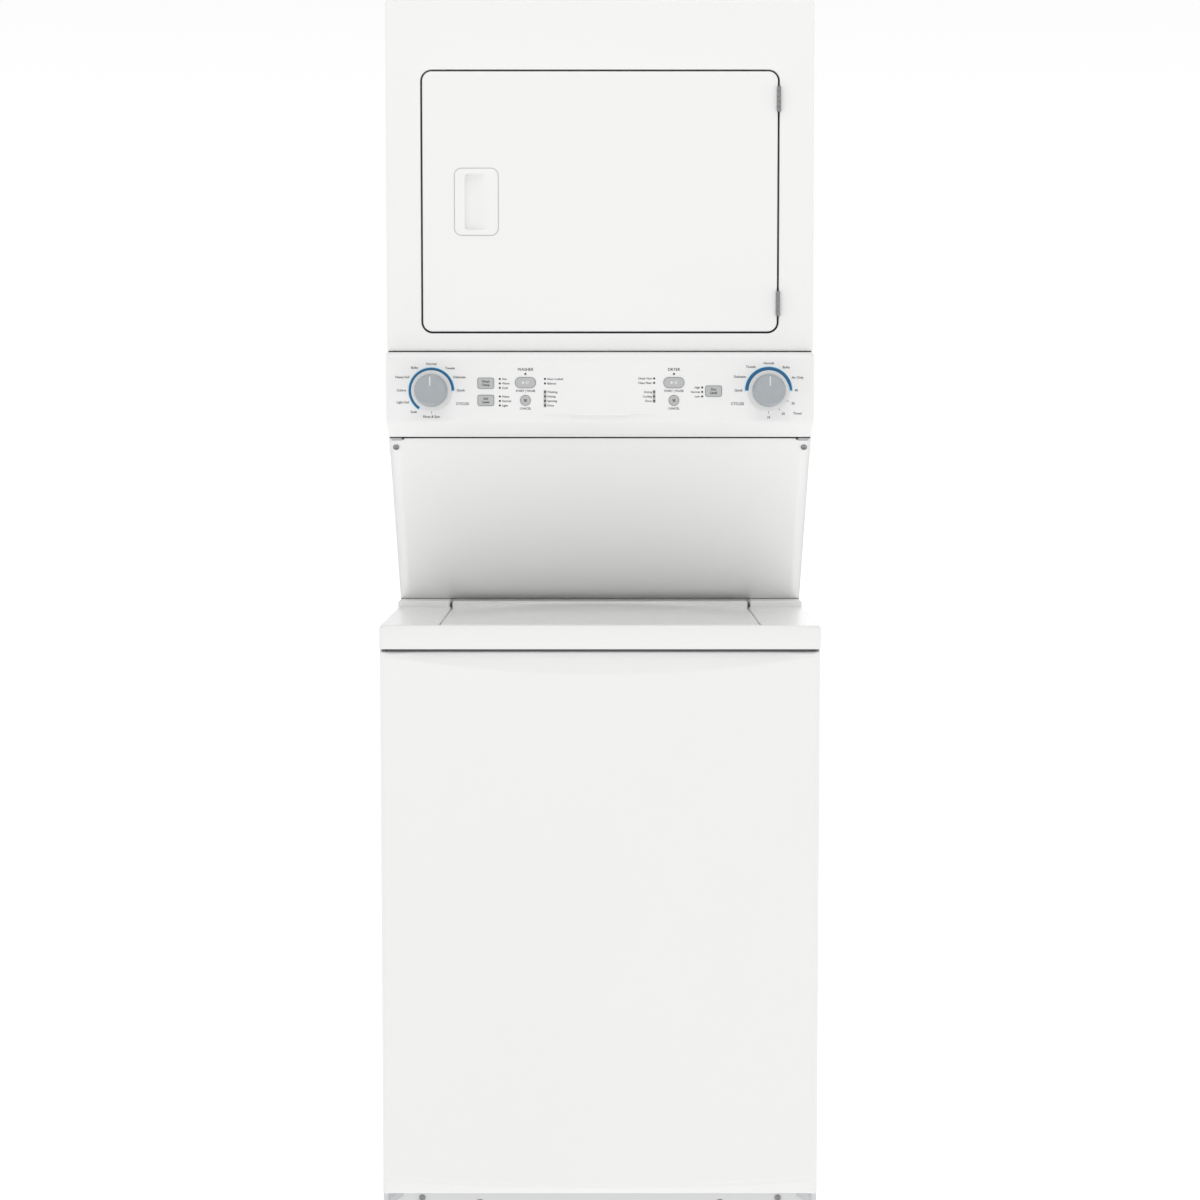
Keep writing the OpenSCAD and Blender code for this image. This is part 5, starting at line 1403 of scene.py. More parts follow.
@dataclass
class DryerDoor:
    """The dryer's door: outer and inner skins, seal, handle, hinges and strike."""

    outer: Span = node_span("door_outer")
    inner: Span = node_span("door_inner")
    seal: Span = node_span("door_seal")
    handle: Span = node_span("door_handle")
    hinge: Span = node_span("frame_hinge_leaves")
    corner: float = 15 * MM
    plug: tuple[float, float, float] = (0.418, 0.283, 0.054)    # the pressed middle's width, height, corner

    def build(self) -> None:
        """Makes the door's pieces."""
        self.outer_skin()
        self.inner_skin()
        self.seal_ring()
        self.handle_insert()
        self.hinges()
        soften("door_strike", STEEL, 0.4 * MM)

    def outer_skin(self) -> None:
        """Door face with a rounded edge and a hole behind the handle: rings from the hole to the rear hem."""
        face, depth = self.outer.low[1], self.outer.size[1]
        hole = Outline(self.handle.size[0] - 4 * MM, self.handle.size[2] - 4 * MM, 9 * MM,
                       (self.handle.middle[0], self.handle.middle[2]))
        rim = Outline(self.outer.size[0], self.outer.size[2], self.corner, (0.0, self.outer.middle[2]))
        rings = hole.rings(Facing.BACK, [(0.0, 1.5 * MM), (0.0, 0.0)], face)
        edge = [(-inset, drop) for inset, drop in edge_round(2.6 * MM, 7)]
        rings += rim.rings(Facing.BACK, [*edge, (0.0, depth - 1 * MM), (-0.8 * MM, depth),
                                         (-9 * MM, depth)], face)
        Skin().loft(rings, ends=False).sheet("door_face", ENAMEL, "door", "door_outer", 0.8 * MM)

    def inner_skin(self) -> None:
        """Pressed inner sheet whose middle stands back into the drum's throat and is dished."""
        start, deep = self.inner.low[1], self.inner.size[1]
        plate_w, plate_h, hub = self.inner.size[0], self.inner.size[2], (0.0, self.inner.middle[2])
        plug_w, plug_h, plug_r = self.plug
        rows = [(plate_w, plate_h, 14 * MM, 0.0), (plate_w, plate_h, 14 * MM, 0.6 * MM),
                (plate_w - 2 * MM, plate_h - 2 * MM, 13 * MM, 1 * MM)]
        for share in np.linspace(0, 1, 8):
            grow, sunk = (1 - share) * 6 * MM, (deep - 4 * MM) * bend(np.array(share)) + (1 + share) * MM
            rows.append((plug_w + grow, plug_h + grow, plug_r, sunk))
        for inset, rise in mm([10, 2.4], [18, 3.0], [26, 2.4], [36, -2.0], [60, -5.0], [90, -6.0]):
            rows.append((plug_w - 2 * inset, plug_h - 2 * inset, plug_r, deep - 3 * MM + rise))
        rings = [Facing.BACK.place(rounded(w, h, min(r, w / 2.1, h / 2.1), hub), float(d), start)
                 for w, h, r, d in rows]
        Skin().loft(rings).build("door_pressing", ENAMEL_INSIDE, "door", "door_inner", crease=40)

    def seal_ring(self) -> None:
        """A soft lip round the plug: a round section carried round a rounded rectangle."""
        turn = np.linspace(0, 2 * pi, 17)[:-1]
        hub = (0.0, self.seal.middle[2])
        lip = Outline(self.seal.size[0], self.seal.size[2], 66 * MM, hub, arc=14, side=10)
        section = np.stack([-7 * MM * (1 + np.cos(turn)), self.seal.size[1] / 2 * (1 + np.sin(turn))], -1)
        grid = np.stack(lip.rings(Facing.BACK, section, self.seal.low[1]))
        Skin().patch(grid, wrap_u=True, wrap_v=True).build("seal_lip", SEAL, "door", "door_seal")

    def handle_insert(self) -> None:
        """Handle plate with a raised rim and a finger pocket, steep at its left and ramped at its right.

        Depth at a point is pocket(x, z) times a ramp in x: full behind the left edge, then falling to nothing
        at the right, with a smooth step of 2 mm round the pocket's outline.
        """
        face, rim, corner_r = self.handle.low[1], 4 * MM, 11 * MM
        centre = (self.handle.middle[0], self.handle.middle[2])
        wide, tall = self.handle.size[0], self.handle.size[2]
        u, v = np.linspace(-0.5, 0.5, 90), np.linspace(-0.5, 0.5, 120)
        gx, gz = np.meshgrid(u * (wide - 2 * rim), v * (tall - 2 * rim), indexing="ij")
        left, right, tall_half, corner = -19 * MM, 23 * MM, 45 * MM, 7 * MM
        dx = np.maximum(np.abs(gx - (left + right) / 2) - ((right - left) / 2 - corner), 0)
        dz = np.maximum(np.abs(gz) - (tall_half - corner), 0)
        pocket = bend((corner - np.hypot(dx, dz)) / (2.2 * MM))
        ramp = bend((right - gx) / (right - left - 9 * MM))
        depth = 10.2 * MM * pocket * ramp + 0.5 * MM
        grid = np.stack([gx + centre[0], face + depth, gz + centre[1]], -1)
        border = border_of(grid)
        rings = [self.rim_ring(border, centre, (wide, tall), corner_r, inset, face + drop)
                 for inset, drop in mm([1.6, 0], [0.7, 0.2], [0, 1], [0, 1.5])]
        skin = Skin().patch(grid).patch(np.stack([border, *rings]), wrap_v=True)
        skin.sheet("handle_insert", HANDLE_WHITE, "door", "door_handle", 1.2 * MM, crease=55)
        # Painted shadow: a thin grey ring round the handle plate stands in for the shade in the hairline gap
        # between plate and door.
        outline = Outline(wide, tall, corner_r, centre)
        section = mm([0.1, -0.4], [0.1, 0.2], [1, 0.2], [1, -0.4])
        edge = outline.rings(Facing.FRONT, section, self.outer.low[1])
        Skin().patch(np.stack(edge), wrap_u=True, wrap_v=True).build("handle_painted_shadow_line", STRIP_GREY, "door")

    @staticmethod
    def rim_ring(border: Array, centre: tuple[float, float], size: tuple[float, float], corner: float,
                 inset: float, y: float) -> Array:
        """Carries a rectangular border out onto a rounded rectangle of that size, point by point."""
        half = np.array(size) / 2 - inset
        flat = border[:, [0, 2]] - np.array(centre)
        scale = np.max(np.abs(flat) / half, axis=1, keepdims=True)
        flat = flat / scale
        core = half - corner + inset
        beyond = np.abs(flat) - core
        in_corner = (beyond > 0).all(1, keepdims=True)
        length = np.linalg.norm(np.maximum(beyond, 1e-9), axis=1, keepdims=True)
        curved = np.sign(flat) * (core + np.maximum(beyond, 0) / length * (corner - inset))
        flat = np.where(in_corner, curved, flat) + np.array(centre)
        return np.stack([flat[:, 0], np.full(len(flat), y), flat[:, 1]], -1)

    def hinges(self) -> None:
        """Two butt hinges of five knuckles each, with leaves and a headed pin."""
        axis_x, axis_y = self.hinge.high[0] - 3.2 * MM, self.hinge.low[1] + 3.2 * MM
        tall, parts = 40 * MM, 5
        knuckle = looped(mm([1.5, 0.3], [2.6, 0.3], [3.2, 1.0], [3.2, 7.0], [2.6, 7.7], [1.5, 7.7]))
        pin = mm([0, 0], [2.4, 0], [2.8, 0], [1.4, 0.1], [1.4, 39.9], [2.8, 40], [2.4, 40], [0, 40])
        for body, first, side, node in (("cabinet", 0, 1, "frame_hinge_leaves"),
                                        ("door", 1, -1, "door_hinge_leaves")):
            skin = Skin()
            for foot in (self.hinge.high[2] - tall, self.hinge.low[2]):
                for k in range(first, parts, 2):
                    skin.turned(knuckle, (axis_x, axis_y, foot + k * tall / parts), steps=32)
                leaf = Outline(1 * MM, tall, 0.4 * MM, (axis_x + side * 1 * MM, foot + tall / 2))
                skin.slab(Facing.BACK, leaf, axis_y + 2.4 * MM, 12 * MM, 0.2 * MM)
                if body == "cabinet":
                    skin.turned(pin, (axis_x, axis_y, foot), steps=24)
            # The hinges take the darkened steel, whose colour paints in dark reflections.
            skin.build(f"{body}_hinges", DARK_REFLECTION_STEEL, body, node, crease=25)


@dataclass
class DryerWorks:
    """Drum, vanes, heater, fan, motor, belt, filter and ducts inside the dryer."""

    drum: Span = node_span("dryer_drum")
    vanes: Span = node_span("drum_vanes")
    filter: Span = node_span("lint_filter")
    wheel: Span = node_span("blower_wheel")
    rear: Span = node_span("rear_panel")

    def __post_init__(self) -> None:
        """Works out the drum's axis and its rear wall."""
        self.axis = np.array([0.0, 0.0, self.drum.middle[2]])
        self.back = self.rear.high[1] - 42 * MM
        self.radius = self.drum.size[0] / 2

    def build(self) -> None:
        """Makes the inner pieces."""
        self.drum_sheet()
        self.vane_mouldings()
        self.filter_frame()
        self.fan_wheel()
        soften_all(("heater_housing", ZINC, 0.4), ("blower_housing", FAN_GREY, 1.2),
                   ("dryer_motor", MOTOR, 2.0), ("motor_shaft", STEEL, 0.5),
                   ("drum_belt", RUBBER, 0.4), ("idler_pulley", FAN_GREY, 0.8),
                   ("exhaust_duct", ZINC, 0.4), ("control_board", BOARD, 0.3))

    def drum_sheet(self) -> None:
        """Drum wall with pressed hoops, rolled front edge, and a rear wall with rings of air holes."""
        r, y0, y1 = self.radius, self.drum.low[1], self.back
        inner_r, boss_r, roll = 0.215, 0.10, 6 * MM
        y = np.linspace(y0, y1 - roll, 120)
        along = (y - y0) / (y1 - y0)
        hoops = sum(np.exp(-((along - at) / 0.014) ** 2) * 3.0 * MM for at in (0.16, 0.40, 0.93))
        front = mm([-5, 1], [-4, 0.1], [-1, 0]) + (r, y0)
        turn = np.linspace(0, pi / 2, 6)[1:, None]
        shoulder = np.array([r - roll, y1 - roll]) + roll * join([np.cos(turn), np.sin(turn)], 1)
        profile = join([front, np.stack([r - hoops, y], -1), shoulder, [[inner_r, y1]]])
        skin = Skin().turned(profile, self.axis, axis=1, steps=160)
        points, faces = perforated(120, 9, 0.52)
        angle = points[:, 0] * 2 * pi
        reach = inner_r - points[:, 1] * (inner_r - boss_r)
        sheet = np.stack([reach * np.sin(angle), np.full(len(angle), y1), reach * np.cos(angle)], -1)
        skin.keep(self.axis + sheet, [faces[:, ::-1]])
        boss = mm([100, 0], [88, -0.3], [78, -6], [40, -9], [0, -9.5]) + (0, y1)
        skin.turned(boss, self.axis, axis=1, steps=96)
        skin.sheet("drum_sheet", DRUM_STEEL, "drum", "dryer_drum", 0.8 * MM, inward=False)
        end = self.drum.high[1]
        stub = join([mm([0, -2], [7.9, -2]) + (0, y1),
                               mm([7.9, -1], [6.5, 0], [0, 0]) + (0, end)])
        skin = Skin().turned(stub, self.axis, axis=1, steps=32)
        skin.build("drum_stub_shaft", STEEL, "drum", "dryer_drum")

    def vane_mouldings(self) -> None:
        """Three lifting vanes: smooth ridges along the drum, tapered at both ends.

        Across the drum's turn a vane is a cosine hump, and along it its height follows the sixth root of
        4u(1 - u).
        """
        y0, y1 = self.vanes.low[1], self.vanes.high[1]
        inner = self.radius - 1.2 * MM
        height, half = 51 * MM, 31 * MM
        u, v = np.linspace(0, 1, 60)[:, None], np.linspace(-1, 1, 33)[None, :]
        reach = inner - height * (4 * u * (1 - u)) ** (1 / 6) * (0.5 + 0.5 * np.cos(pi * v)) ** 0.8
        along = np.broadcast_to(y0 + u * (y1 - y0), reach.shape)
        skin = Skin()
        for k in range(3):
            angle = radians(90 + 120 * k) + v * half / inner + 0 * u
            ridge, under = (self.axis + np.stack([radius * np.cos(angle), along, radius * np.sin(angle)], -1)
                            for radius in (reach, inner))
            skin.patch(ridge, flip=True).patch(under)
        skin.build("vane_mouldings", TUB_WHITE, "drum", "drum_vanes", crease=45)

    def filter_frame(self) -> None:
        """Lint filter: a moulded frame with a grip and two panes of gauze."""
        soften("lint_filter", FAN_GREY, 0.5 * MM)
        middle = self.filter.middle
        top, foot = self.filter.high[2] - 22 * MM, self.filter.low[2] + 8 * MM
        pane = Outline(self.filter.size[0] - 30 * MM, top - foot, 2 * MM, (middle[0], (top + foot) / 2))
        for name, offset in (("gauze_front", -0.9 * MM), ("gauze_rear", 0.9 * MM)):
            skin = Skin().slab(Facing.FRONT, pane, middle[1] + offset + 0.15 * MM, 0.3 * MM, 0.1 * MM)
            skin.build(name, GAUZE, "filter")

    def fan_wheel(self) -> None:
        """Forward-curved fan wheel: back plate, front hoop, hub and 30 curved blades."""
        low, high, r, blades = self.wheel.low[1], self.wheel.high[1], self.wheel.size[0] / 2, 30
        hub = np.array([self.wheel.middle[0], 0.0, self.wheel.middle[2]])
        plate = mm([6.2, -4], [15, -4], [16, -0.5], [r / MM, -0.5], [r / MM, 0], [6.2, 0]) + (0, high)
        hoop = mm([-15, 0], [0, 0], [0, 2.5], [-15, 1]) + (r, low)
        nose = mm([6.2, 4], [11, 4], [13.5, 7], [14, 40], [6.2, 40]) + (0, low)
        skin = Skin()
        for profile, steps in ((plate, 72), (hoop, 72), (nose, 48)):
            skin.turned(looped(profile), hub, axis=1, steps=steps)
        share = np.linspace(0, 1, 7)
        for k in range(blades):
            radius = r - 14 * MM + share * 13 * MM
            angle = k * 2 * pi / blades + 0.28 * share ** 2
            line = np.stack([radius * np.sin(angle), radius * np.cos(angle)], -1)
            away = np.gradient(line, axis=0)
            away = away / np.linalg.norm(away, axis=1, keepdims=True)
            away = np.stack([away[:, 1], -away[:, 0]], -1) * 0.6 * MM
            loop = join([line + away, (line - away)[::-1]]) + hub[[0, 2]]
            skin.loft([np.stack([loop[:, 0], np.full(len(loop), y), loop[:, 1]], -1)
                       for y in (low + 1 * MM, high - 0.2 * MM)])
        skin.build("fan_wheel_moulding", FAN_GREY, "fan_shaft", "blower_wheel")


# ---------------------------------------------------------------- console

class Align(Enum):
    """Where a label sits against its place."""

    LEFT = "LEFT"
    CENTRE = "CENTER"
    RIGHT = "RIGHT"


@dataclass(frozen=True)
class Label:
    """Some words printed on the console."""

    words: str
    x: float
    z: float
    height: float = 5.3 * MM
    align: Align = Align.CENTRE


@dataclass
class Dial:
    """A cycle knob with its printed arc and words round it."""

    node: str
    body: str
    arc: tuple[float, float]                 # from and to, degrees clockwise from the top
    proud: float                             # how far the printed arc reaches past the skirt
    width: tuple[float, float]               # the printed arc's width at its two ends
    words: dict[float, str]                  # what is printed at each angle

    def __post_init__(self) -> None:
        """Finds the knob's centre and sizes."""
        self.span = Span.of(self.node)
        self.centre = np.array([self.span.middle[0], self.span.middle[2]])
        self.hub = np.array([self.centre[0], 0.0, self.centre[1]])
        self.radius = self.span.size[0] / 2
        self.cap = self.radius - 6.0 * MM
        self.front = self.span.low[1]

    def build(self, face: float) -> None:
        """Makes the knob, its pointer and its printing on a face at that Y."""
        self.knob_skirt(face)
        self.knob_cap(face)
        self.pointer()
        self.printed_arc(face)

    def knob_skirt(self, face: float) -> None:
        """A turned skirt with a stepped rim, and the stem behind it."""
        foot = face - 1.6 * MM
        rim = mm([-0.8, 0], [0, -0.8], [0, -2], [-0.9, -3.2], [-2.6, -4]) + (self.radius, foot)
        neck = mm([1.8, -4.4], [1.2, -5.2]) + (self.cap, foot)
        bore = mm([4, -5.2], [4, 0]) + (0, foot)
        ring = Skin().turned(looped(join([rim, neck, bore])), self.hub, axis=1, steps=128)
        stem = mm([0, 0], [3, 0], [3, 0], [0, 0])
        stem[:, 1] = [foot - 1 * MM] * 2 + [self.span.high[1]] * 2
        ring.turned(stem, self.hub, axis=1, steps=24)
        ring.build(f"{self.node}_skirt", SKIRT_GREY, self.body, self.node, crease=28)

    def knob_cap(self, face: float) -> None:
        """A cap whose side has shallow finger flutes.

        The cap's radius at angle a is r (1 + 0.012 cos 24a) along its side and plain on its face.
        """
        flutes, depth = 24, 0.012
        foot = face - 1.6 * MM
        side = join([
            mm([0.2, -4.4], [-0.3, -6]) + (self.cap, foot),
            mm([-0.9, 3.2], [-1.3, 1.6], [-2.1, 0.5], [-3.3, 0.05], [-4.2, 0], [-5, 0.5])
            + (self.cap, self.front),
            [[self.cap * 0.5, self.front + 0.7 * MM], [0.0, self.front + 0.75 * MM]]])
        side = np.insert(side, 0, [0.0, side[0, 1]], 0)
        angle = np.linspace(0, 2 * pi, 240, endpoint=False)
        fluted = np.array([0, 0.4, 1, 1, 0.8, 0.3, 0.1, 0, 0, 0, 0])[:, None]
        radius = side[:, :1] * (1 + depth * fluted * np.cos(flutes * angle))
        out = np.broadcast_to(side[:, 1:], radius.shape)
        grid = np.stack([radius * np.sin(angle), out, radius * np.cos(angle)], -1) + self.hub
        Skin().patch(grid, wrap_v=True).build(f"{self.node}_cap", KNOB_GREY, self.body, crease=28)

    def pointer(self) -> None:
        """A raised white bar from the cap's middle towards its top edge."""
        bar = Outline(1.7 * MM, 15 * MM, 0.8 * MM, (self.centre[0], self.centre[1] + self.cap * 0.56))
        skin = Skin().slab(Facing.FRONT, bar, self.front + 0.9 * MM, 0.9 * MM, 0.25 * MM)
        skin.build(f"{self.node}_pointer", PALE_INK, self.body)

    def printed_arc(self, face: float) -> None:
        """The blue arc with a pale halo behind it; past the top it narrows from inside as t^2."""
        start, end = (radians(angle) for angle in self.arc)
        for name, extra, lift, finish in (("halo", 2.4 * MM, 0.10 * MM, PALE_BLUE),
                                          ("arc", 0.0, 0.18 * MM, BLUE)):
            overrun = 0.5 * extra / self.radius
            clock = start - overrun + np.linspace(0, 1, 90) * (end - start + 2 * overrun)
            width = self.width[0] + np.clip(clock / end, 0, 1) ** 2 * (self.width[1] - self.width[0])
            outer = self.radius + self.proud + 0.5 * extra
            inner = self.radius + self.proud - width - extra
            grid = np.stack([self.ring_point(clock, radius, face - rise) for radius, rise in
                             ((inner, 0.02 * MM), (inner, lift), (outer, lift), (outer, 0.02 * MM))])
            skin = Skin().patch(grid, wrap_u=True).cap(grid[:, 0], flip=True).cap(grid[:, -1])
            skin.build(f"{self.node}_{name}", finish, "cabinet")

    def ring_point(self, clock: Array, radius: Array | float, y: float) -> Array:
        """Points at clockwise angles from the top, at that radius from the knob's centre."""
        return np.stack([self.centre[0] + radius * np.sin(clock), np.full(clock.shape, y),
                         self.centre[1] + radius * np.cos(clock)], -1)

    def labels(self) -> list[Label]:
        """The words and numbers round the dial, each turned outwards from the centre."""
        found = []
        reach = self.radius + self.proud + 4.0 * MM
        for clock, words in self.words.items():
            across, up = sin(radians(clock)), cos(radians(clock))
            align = Align.CENTRE if abs(across) < 0.2 else Align.LEFT if across > 0 else Align.RIGHT
            found.append(Label(words, self.centre[0] + reach * across,
                               self.centre[1] + (reach + 1.6 * MM) * up - 1.4 * MM, align=align))
        return found


@dataclass
class Console:
    """The console's fascia, buttons, lamps and printing."""

    fascia: Span = node_span("console_fascia")
    flange: float = 1.5 * MM        # how far each button's hidden flange is wider than its face
    drop: float = 2.6 * MM          # how far the face steps back below the crease
    marks: dict[str, tuple[str, ...]] = field(default_factory=lambda: {     # each button and its words
        "temperature_button": ("Wash", "Temp"), "level_button": ("Soil", "Level"), "washer_start_button": (),
        "washer_cancel_button": (), "dryness_button": ("Dry", "Level"), "dryer_start_button": (),
        "dryer_cancel_button": ()})

    def __post_init__(self) -> None:
        """Finds the face and the buttons."""
        self.face = self.fascia.low[1]
        self.spots = {name: Span.of(name) for name in self.marks}
        self.dials = [
            Dial("washer_knob", "washer_dial", (-145.0, 90.0), 4.2 * MM, (5.0 * MM, 5.0 * MM),
                 {0: "Normal", 33: "Towels", 60: "Delicates", 90: "Quick", 180: "Rinse & Spin", 215: "Soak",
                  243: "Light Soil", 270: "Colors", 300: "Heavy Soil", 329: "Bulky"}),
            Dial("dryer_knob", "dryer_dial", (-90.0, 90.0), 5.4 * MM, (7.4 * MM, 3.2 * MM),
                 {0: "Normal", 32: "Bulky", 62: "Air Only", 270: "Quick", 300: "Delicates", 330: "Towels",
                  90: "40", 119: "30", 150: "20", 180: "10"})]

    def build(self) -> None:
        """Makes the console's pieces."""
        self.moulding()
        self.push_buttons()
        self.lamps()
        self.printing()
        for dial in self.dials:
            dial.build(self.face)

    def moulding(self) -> None:
        """Fascia swept across the width, with a bowed crease under the controls and holes for the buttons.

        Its section runs from the rear of its top edge, over the rounded brow, down the face and back under.
        The crease is a step back of 2.6 mm in the face at height c(x), which dips in the middle.
        """
        low, high = self.fascia.low, self.fascia.high
        face, back, head, foot = low[1], high[1], high[2], low[2]
        brow = mm([14, 0], [8, -0.7], [4.5, -2.6], [2.2, -5.6], [0.8, -9], [0.1, -13]) + (face, head)
        flat = np.linspace(head - 16 * MM, foot + 27 * MM, 84)
        chin = mm([0.5, 24], [2.4, 21.5], [9, 15.5], [24, 3.6], [29, 0.9], [34, 0]) + (face, foot)
        section = join([[[back, head]], brow, np.stack([np.full(84, face), flat], -1), chin,
                                  [[back, foot]]])
        half, round_r = high[0], 3 * MM
        edge = round_r * (1 - np.cos(np.linspace(0, pi / 2, 6)))
        x = join([-half + edge, np.linspace(-half + round_r, half - round_r, 170)[1:-1],
                            half - edge[::-1]])
        gx = np.broadcast_to(x, (len(section), len(x)))
        gy = np.broadcast_to(section[:, :1], gx.shape).copy()
        gz = np.broadcast_to(section[:, 1:], gx.shape).copy()
        end = np.clip(1 - (half - np.abs(gx)) / round_r, 0, 1)
        pull = round_r * (1 - np.sqrt(1 - end ** 2))
        over_middle = gz - (foot + head) / 2
        gy += pull * (gy < back - 1 * MM)
        gz -= np.sign(over_middle) * pull * 0.5 * (np.abs(over_middle) > 50 * MM)
        gx = gx * (1 - 0.007 * bend((foot + 30 * MM - gz) / (26 * MM)))
        gy = gy + self.drop * self.shelf(gx, gz - foot) * (np.abs(gy - face) < 0.6 * MM)
        grid = np.stack([gx, gy, gz], -1)
        piece = Skin().patch(grid).sheet("console_moulding", CONSOLE_WHITE, "cabinet", "console_fascia",
                                         2.3 * MM)
        bake_modifiers(piece)
        self.end_walls(grid)
        holes = Skin()
        for spot in self.spots.values():
            holes.slab(Facing.FRONT, self.outline(spot, 0.45 * MM), face + 8 * MM, 16 * MM, 0.01 * MM)
        carve(piece, holes)
        dress(piece, CONSOLE_WHITE, "cabinet", 35)

    @staticmethod
    def shelf(x: Array, z: Array) -> Array:
        """How much of the crease's step applies: 1 just below its line, 0 above it and 13 mm below it.

        Args:
            x: across the console.
            z: height over the console's foot.

        Returns:
            The share, which also fades out towards both ends.
        """
        crease_z = 36.2 * MM - 2.6 * MM * bend((52 * MM - np.abs(x)) / (6 * MM))
        fade = bend((122 * MM - np.abs(x)) / (80 * MM))
        drop = np.clip((crease_z - z) / (13 * MM), -1, 1)
        return fade * np.where(drop > 0, 1 - bend(drop), bend((drop + 0.09) / 0.09))

    def end_walls(self, grid: Array) -> None:
        """Flat ends that close the moulding at both sides."""
        skin = Skin()
        for column, way in ((0, 1.0), (-1, -1.0)):
            ring = grid[:, column]
            inside = ring + (way * 2.0 * MM, 0, 0)
            skin.patch(np.stack([ring, inside]), wrap_v=True)
            skin.cap(ring, flip=way > 0).cap(inside, flip=way < 0)
        skin.build("console_ends", CONSOLE_WHITE, "cabinet", crease=35)

    def outline(self, spot: Span, grow: float, arc: int = 8, side: int = 4) -> Outline:
        """A button's face outline from its node's box, which its hidden flange widens."""
        wide = spot.size[0] - 2 * self.flange + 2 * grow
        tall = spot.size[2] - 2 * self.flange + 2 * grow
        pill = wide > 28 * MM or wide - tall < 2 * MM
        corner = (tall / 2 - 0.1 * MM) if pill else 2.5 * MM + grow
        return Outline(wide, tall, corner, (spot.middle[0], spot.middle[2]), arc, side)

    def push_buttons(self) -> None:
        """Seven sprung buttons with domed faces and fine bezels."""
        dome = mm([0, -1], [-0.35, -0.4], [-0.95, -0.1], [-1.6, 0], [-2.2, -0.25], [-3.4, -0.4],
                  [-5.5, -0.45])
        bezel = mm([0.15, -1.0], [0.15, 0.15], [0.3, 0.3], [0.6, 0.3], [0.9, 0.05], [0.9, -1.0])
        for name, spot in self.spots.items():
            outline = self.outline(spot, 0.0, 10, 5)
            proud = self.face - spot.low[1]
            rows = [(0.0, -4 * MM), *(dome + (0, proud))]
            skin = Skin().loft(outline.rings(Facing.FRONT, rows, self.face))
            skin.build(f"{name}_face", BUTTON_GREY, f"{name}_body", name, crease=30)
            rings = np.stack(outline.rings(Facing.FRONT, bezel, self.face))
            skin = Skin().patch(rings, wrap_u=True, wrap_v=True)
            skin.build(f"{name}_bezel", BEZEL_GREY, "cabinet", crease=30)
            self.button_mark(name, np.array(outline.centre), spot.low[1] + 0.35 * MM)

    def button_mark(self, name: str, centre: Array, lift: float) -> None:
        """The mark on a button: a cross, a triangle with two bars, or two short words."""
        skin, finish, shapes = Skin(), INK, []
        if "cancel" in name:
            for turn in (pi / 4, -pi / 4):
                run = np.array([cos(turn), sin(turn)]) * 3.0 * MM
                side = np.array([-sin(turn), cos(turn)]) * 0.45 * MM
                shapes.append(np.array([run - side, run + side, side - run, -side - run]))
        elif "start" in name:
            finish = PALE_INK
            shapes = [mm([-5.2, -2.6], [-0.6, 0], [-5.2, 2.6]),
                      *(mm([x, -2.6], [x + 1.1, -2.6], [x + 1.1, 2.6], [x, 2.6]) for x in (1.2, 3.7))]
        for flat in shapes:
            skin.loft([Facing.FRONT.place(flat + centre, rise, lift) for rise in (0.30 * MM, 0.0)])
        for row, word in enumerate(self.marks[name]):
            letters(skin, Label(word, centre[0], centre[1] + (1.0 - 5.4 * row) * MM, 5.2 * MM), lift)
        skin.build(f"{name}_mark", finish, f"{name}_body", crease=30)

    def lamps(self) -> None:
        """Small domed lamps, and the grey strips behind the two columns that show a running programme."""
        points = coordinates(frame["nodes"]["indicator_lights"].data)[:, [0, 2]]
        centres = []
        left = np.ones(len(points), bool)
        while left.any():
            near = left & (np.hypot(*(points - points[left][0]).T) < 3 * MM)
            centres.append((points[near].min(0) + points[near].max(0)) / 2)
            left &= ~near
        dome = mm([0, 0.1], [1.65, 0.1], [1.65, -0.2], [1.3, -0.4], [0.6, -0.5], [0, -0.5])
        skin, strips = Skin(), Skin()
        for x, z in centres:
            skin.turned(dome, (x, self.face, z), axis=1, steps=20)
        skin.build("lamp_lenses", LAMP_DARK, "cabinet", "indicator_lights")
        self.lamp_spots = np.array(centres)
        x, z = self.lamp_spots.T
        running = (np.abs(x) < 100 * MM) & (z < self.fascia.low[2] + 75 * MM)
        for sx in (-1, 1):
            group = self.lamp_spots[running & (np.sign(x) == sx)]
            tall, centre = np.ptp(group[:, 1]) + 6.5 * MM, (group[0, 0], group[:, 1].mean())
            strip = Outline(4.4 * MM, tall, 0.8 * MM, centre)
            strips.slab(Facing.FRONT, strip, self.face + 0.1 * MM, 0.28 * MM, 0.1 * MM)
        strips.build("lamp_strips", STRIP_GREY, "cabinet")

    def printing(self) -> None:
        """All words, numbers and tick marks on the fascia."""
        base = self.fascia.low[2]
        labels = [label for dial in self.dials for label in dial.labels()]
        for machine in ("washer", "dryer"):
            start, cancel = (self.spots[f"{machine}_{action}_button"] for action in ("start", "cancel"))
            x = start.middle[0]
            labels += [Label(machine.upper(), x, base + 105.2 * MM, 6.4 * MM),
                       Label("START | PAUSE", x, start.low[2] - 5.2 * MM, 4.7 * MM),
                       Label("CANCEL", x, cancel.low[2] - 5.2 * MM, 4.7 * MM)]
        left, right = (dial.centre[0] for dial in self.dials)
        labels += [Label("CYCLES", left + 39 * MM, base + 51 * MM, 6.0 * MM, Align.LEFT),
                   Label("CYCLES", right - 39 * MM, base + 51 * MM, 6.0 * MM, Align.RIGHT),
                   Label("Timed", right + 39 * MM, base + 36 * MM, align=Align.LEFT)]
        skin = Skin()
        for label in labels + self.lamp_words():
            letters(skin, label, self.face)
        skin.build("console_words", INK, "cabinet", crease=30)
        self.ticks()

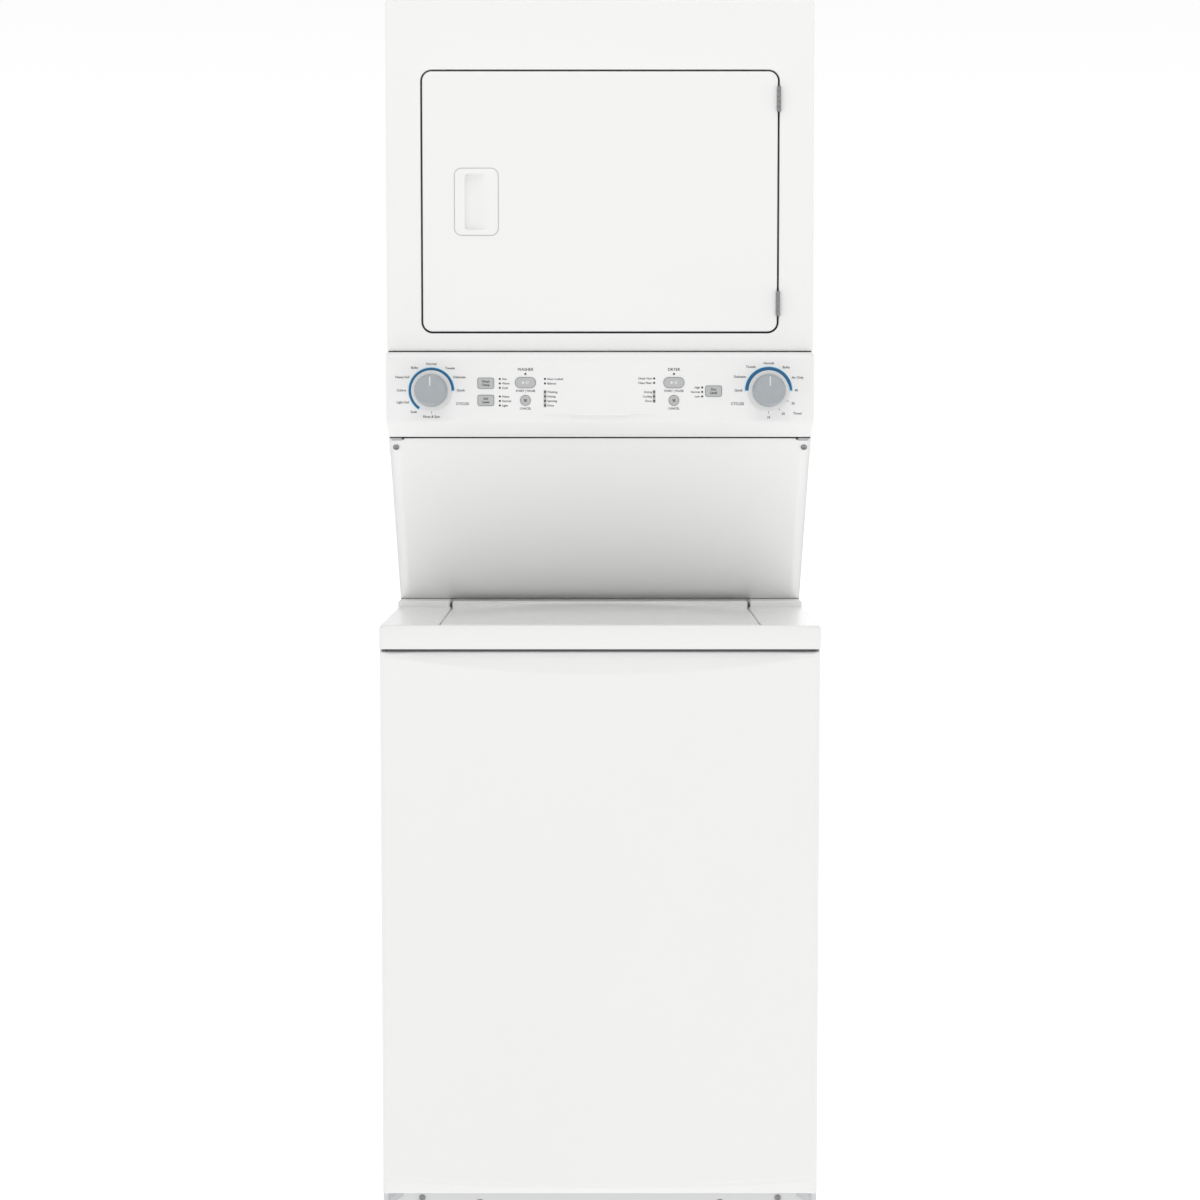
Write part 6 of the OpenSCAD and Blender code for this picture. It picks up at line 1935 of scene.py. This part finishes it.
    def lamp_words(self) -> list[Label]:
        """One word beside each lamp, read from the top of each column."""
        words = {(-159, 0): ("Hot", "Warm", "Cold"), (-159, 1): ("Heavy", "Normal", "Light"),
                 (-87, 0): ("Door Locked", "Balance"), (-87, 1): ("Washing", "Rinsing", "Spinning", "Done"),
                 (86, 0): ("Check Vent", "Clean Filter"), (86, 1): ("Drying", "Cooling", "Done"),
                 (162, 0): ("High", "Normal", "Low")}
        found = []
        for (column, part), texts in words.items():
            group = self.lamp_spots[np.abs(self.lamp_spots[:, 0] - column * MM) < 4 * MM]
            group = group[np.argsort(-group[:, 1])]
            parts = np.split(group, np.flatnonzero(-np.diff(group[:, 1]) > 9 * MM) + 1)
            way, align = (1, Align.LEFT) if column < 0 else (-1, Align.RIGHT)
            found += [Label(text, x + way * 3.6 * MM, z - 1.6 * MM, 4.6 * MM, align)
                      for text, (x, z) in zip(texts, parts[min(part, len(parts) - 1)])]
        return found

    def ticks(self) -> None:
        """Short marks between a dial and some of its words."""
        skin = Skin()
        for dial, clocks in zip(self.dials, ((180,), (119, 150, 180))):
            for clock in np.radians(clocks):
                out = np.array([sin(clock), cos(clock)])
                side = np.array([out[1], -out[0]]) * 0.3 * MM
                near, far = (dial.centre + out * (dial.radius + gap) for gap in (1.0 * MM, 4.5 * MM))
                flat = np.array([near - side, near + side, far + side, far - side])
                skin.loft([Facing.FRONT.place(flat, rise, self.face) for rise in (0.15 * MM, 0.0)])
        skin.build("dial_ticks", INK, "cabinet")


def coordinates(mesh: bpy.types.Mesh) -> Array:
    """A mesh's points (n, 3)."""
    flat = np.empty(len(mesh.vertices) * 3)
    mesh.vertices.foreach_get("co", flat)
    return flat.reshape(-1, 3)


def letters(skin: Skin, label: Label, face: float) -> None:
    """Adds a label's letters to a skin as thin solids standing 0.15 mm off the face."""
    half = 0.075 * MM
    curve = bpy.data.curves.new("label", "FONT")
    curve.body = label.words
    curve.size = label.height
    curve.align_x = label.align.value
    curve.extrude = half
    curve.offset = 0.07 * MM
    curve.resolution_u = 3
    source = link("label", curve)
    bpy.context.view_layer.update()
    mesh = bpy.data.meshes.new_from_object(source.evaluated_get(bpy.context.evaluated_depsgraph_get()))
    x, up, out = coordinates(mesh).T
    placed = np.stack([x + label.x, face - half - out, up + label.z], -1)
    skin.keep(placed, [np.array([polygon.vertices[:]]) for polygon in mesh.polygons])
    bpy.data.objects.remove(source)
    bpy.data.meshes.remove(mesh)


# ---------------------------------------------------------------- all together


def main() -> None:
    """Builds the stage and the sub-assemblies in turn."""
    logging.basicConfig(level=logging.INFO, format="%(name)s: %(message)s")
    for part in (Stage(), WasherCabinet(), WasherTop(), WasherWorks(), DryerCabinet(), DryerDoor(),
                 DryerWorks(), Console()):
        log.info("building %s", type(part).__name__)
        part.build()


if __name__ == "__main__":
    main()
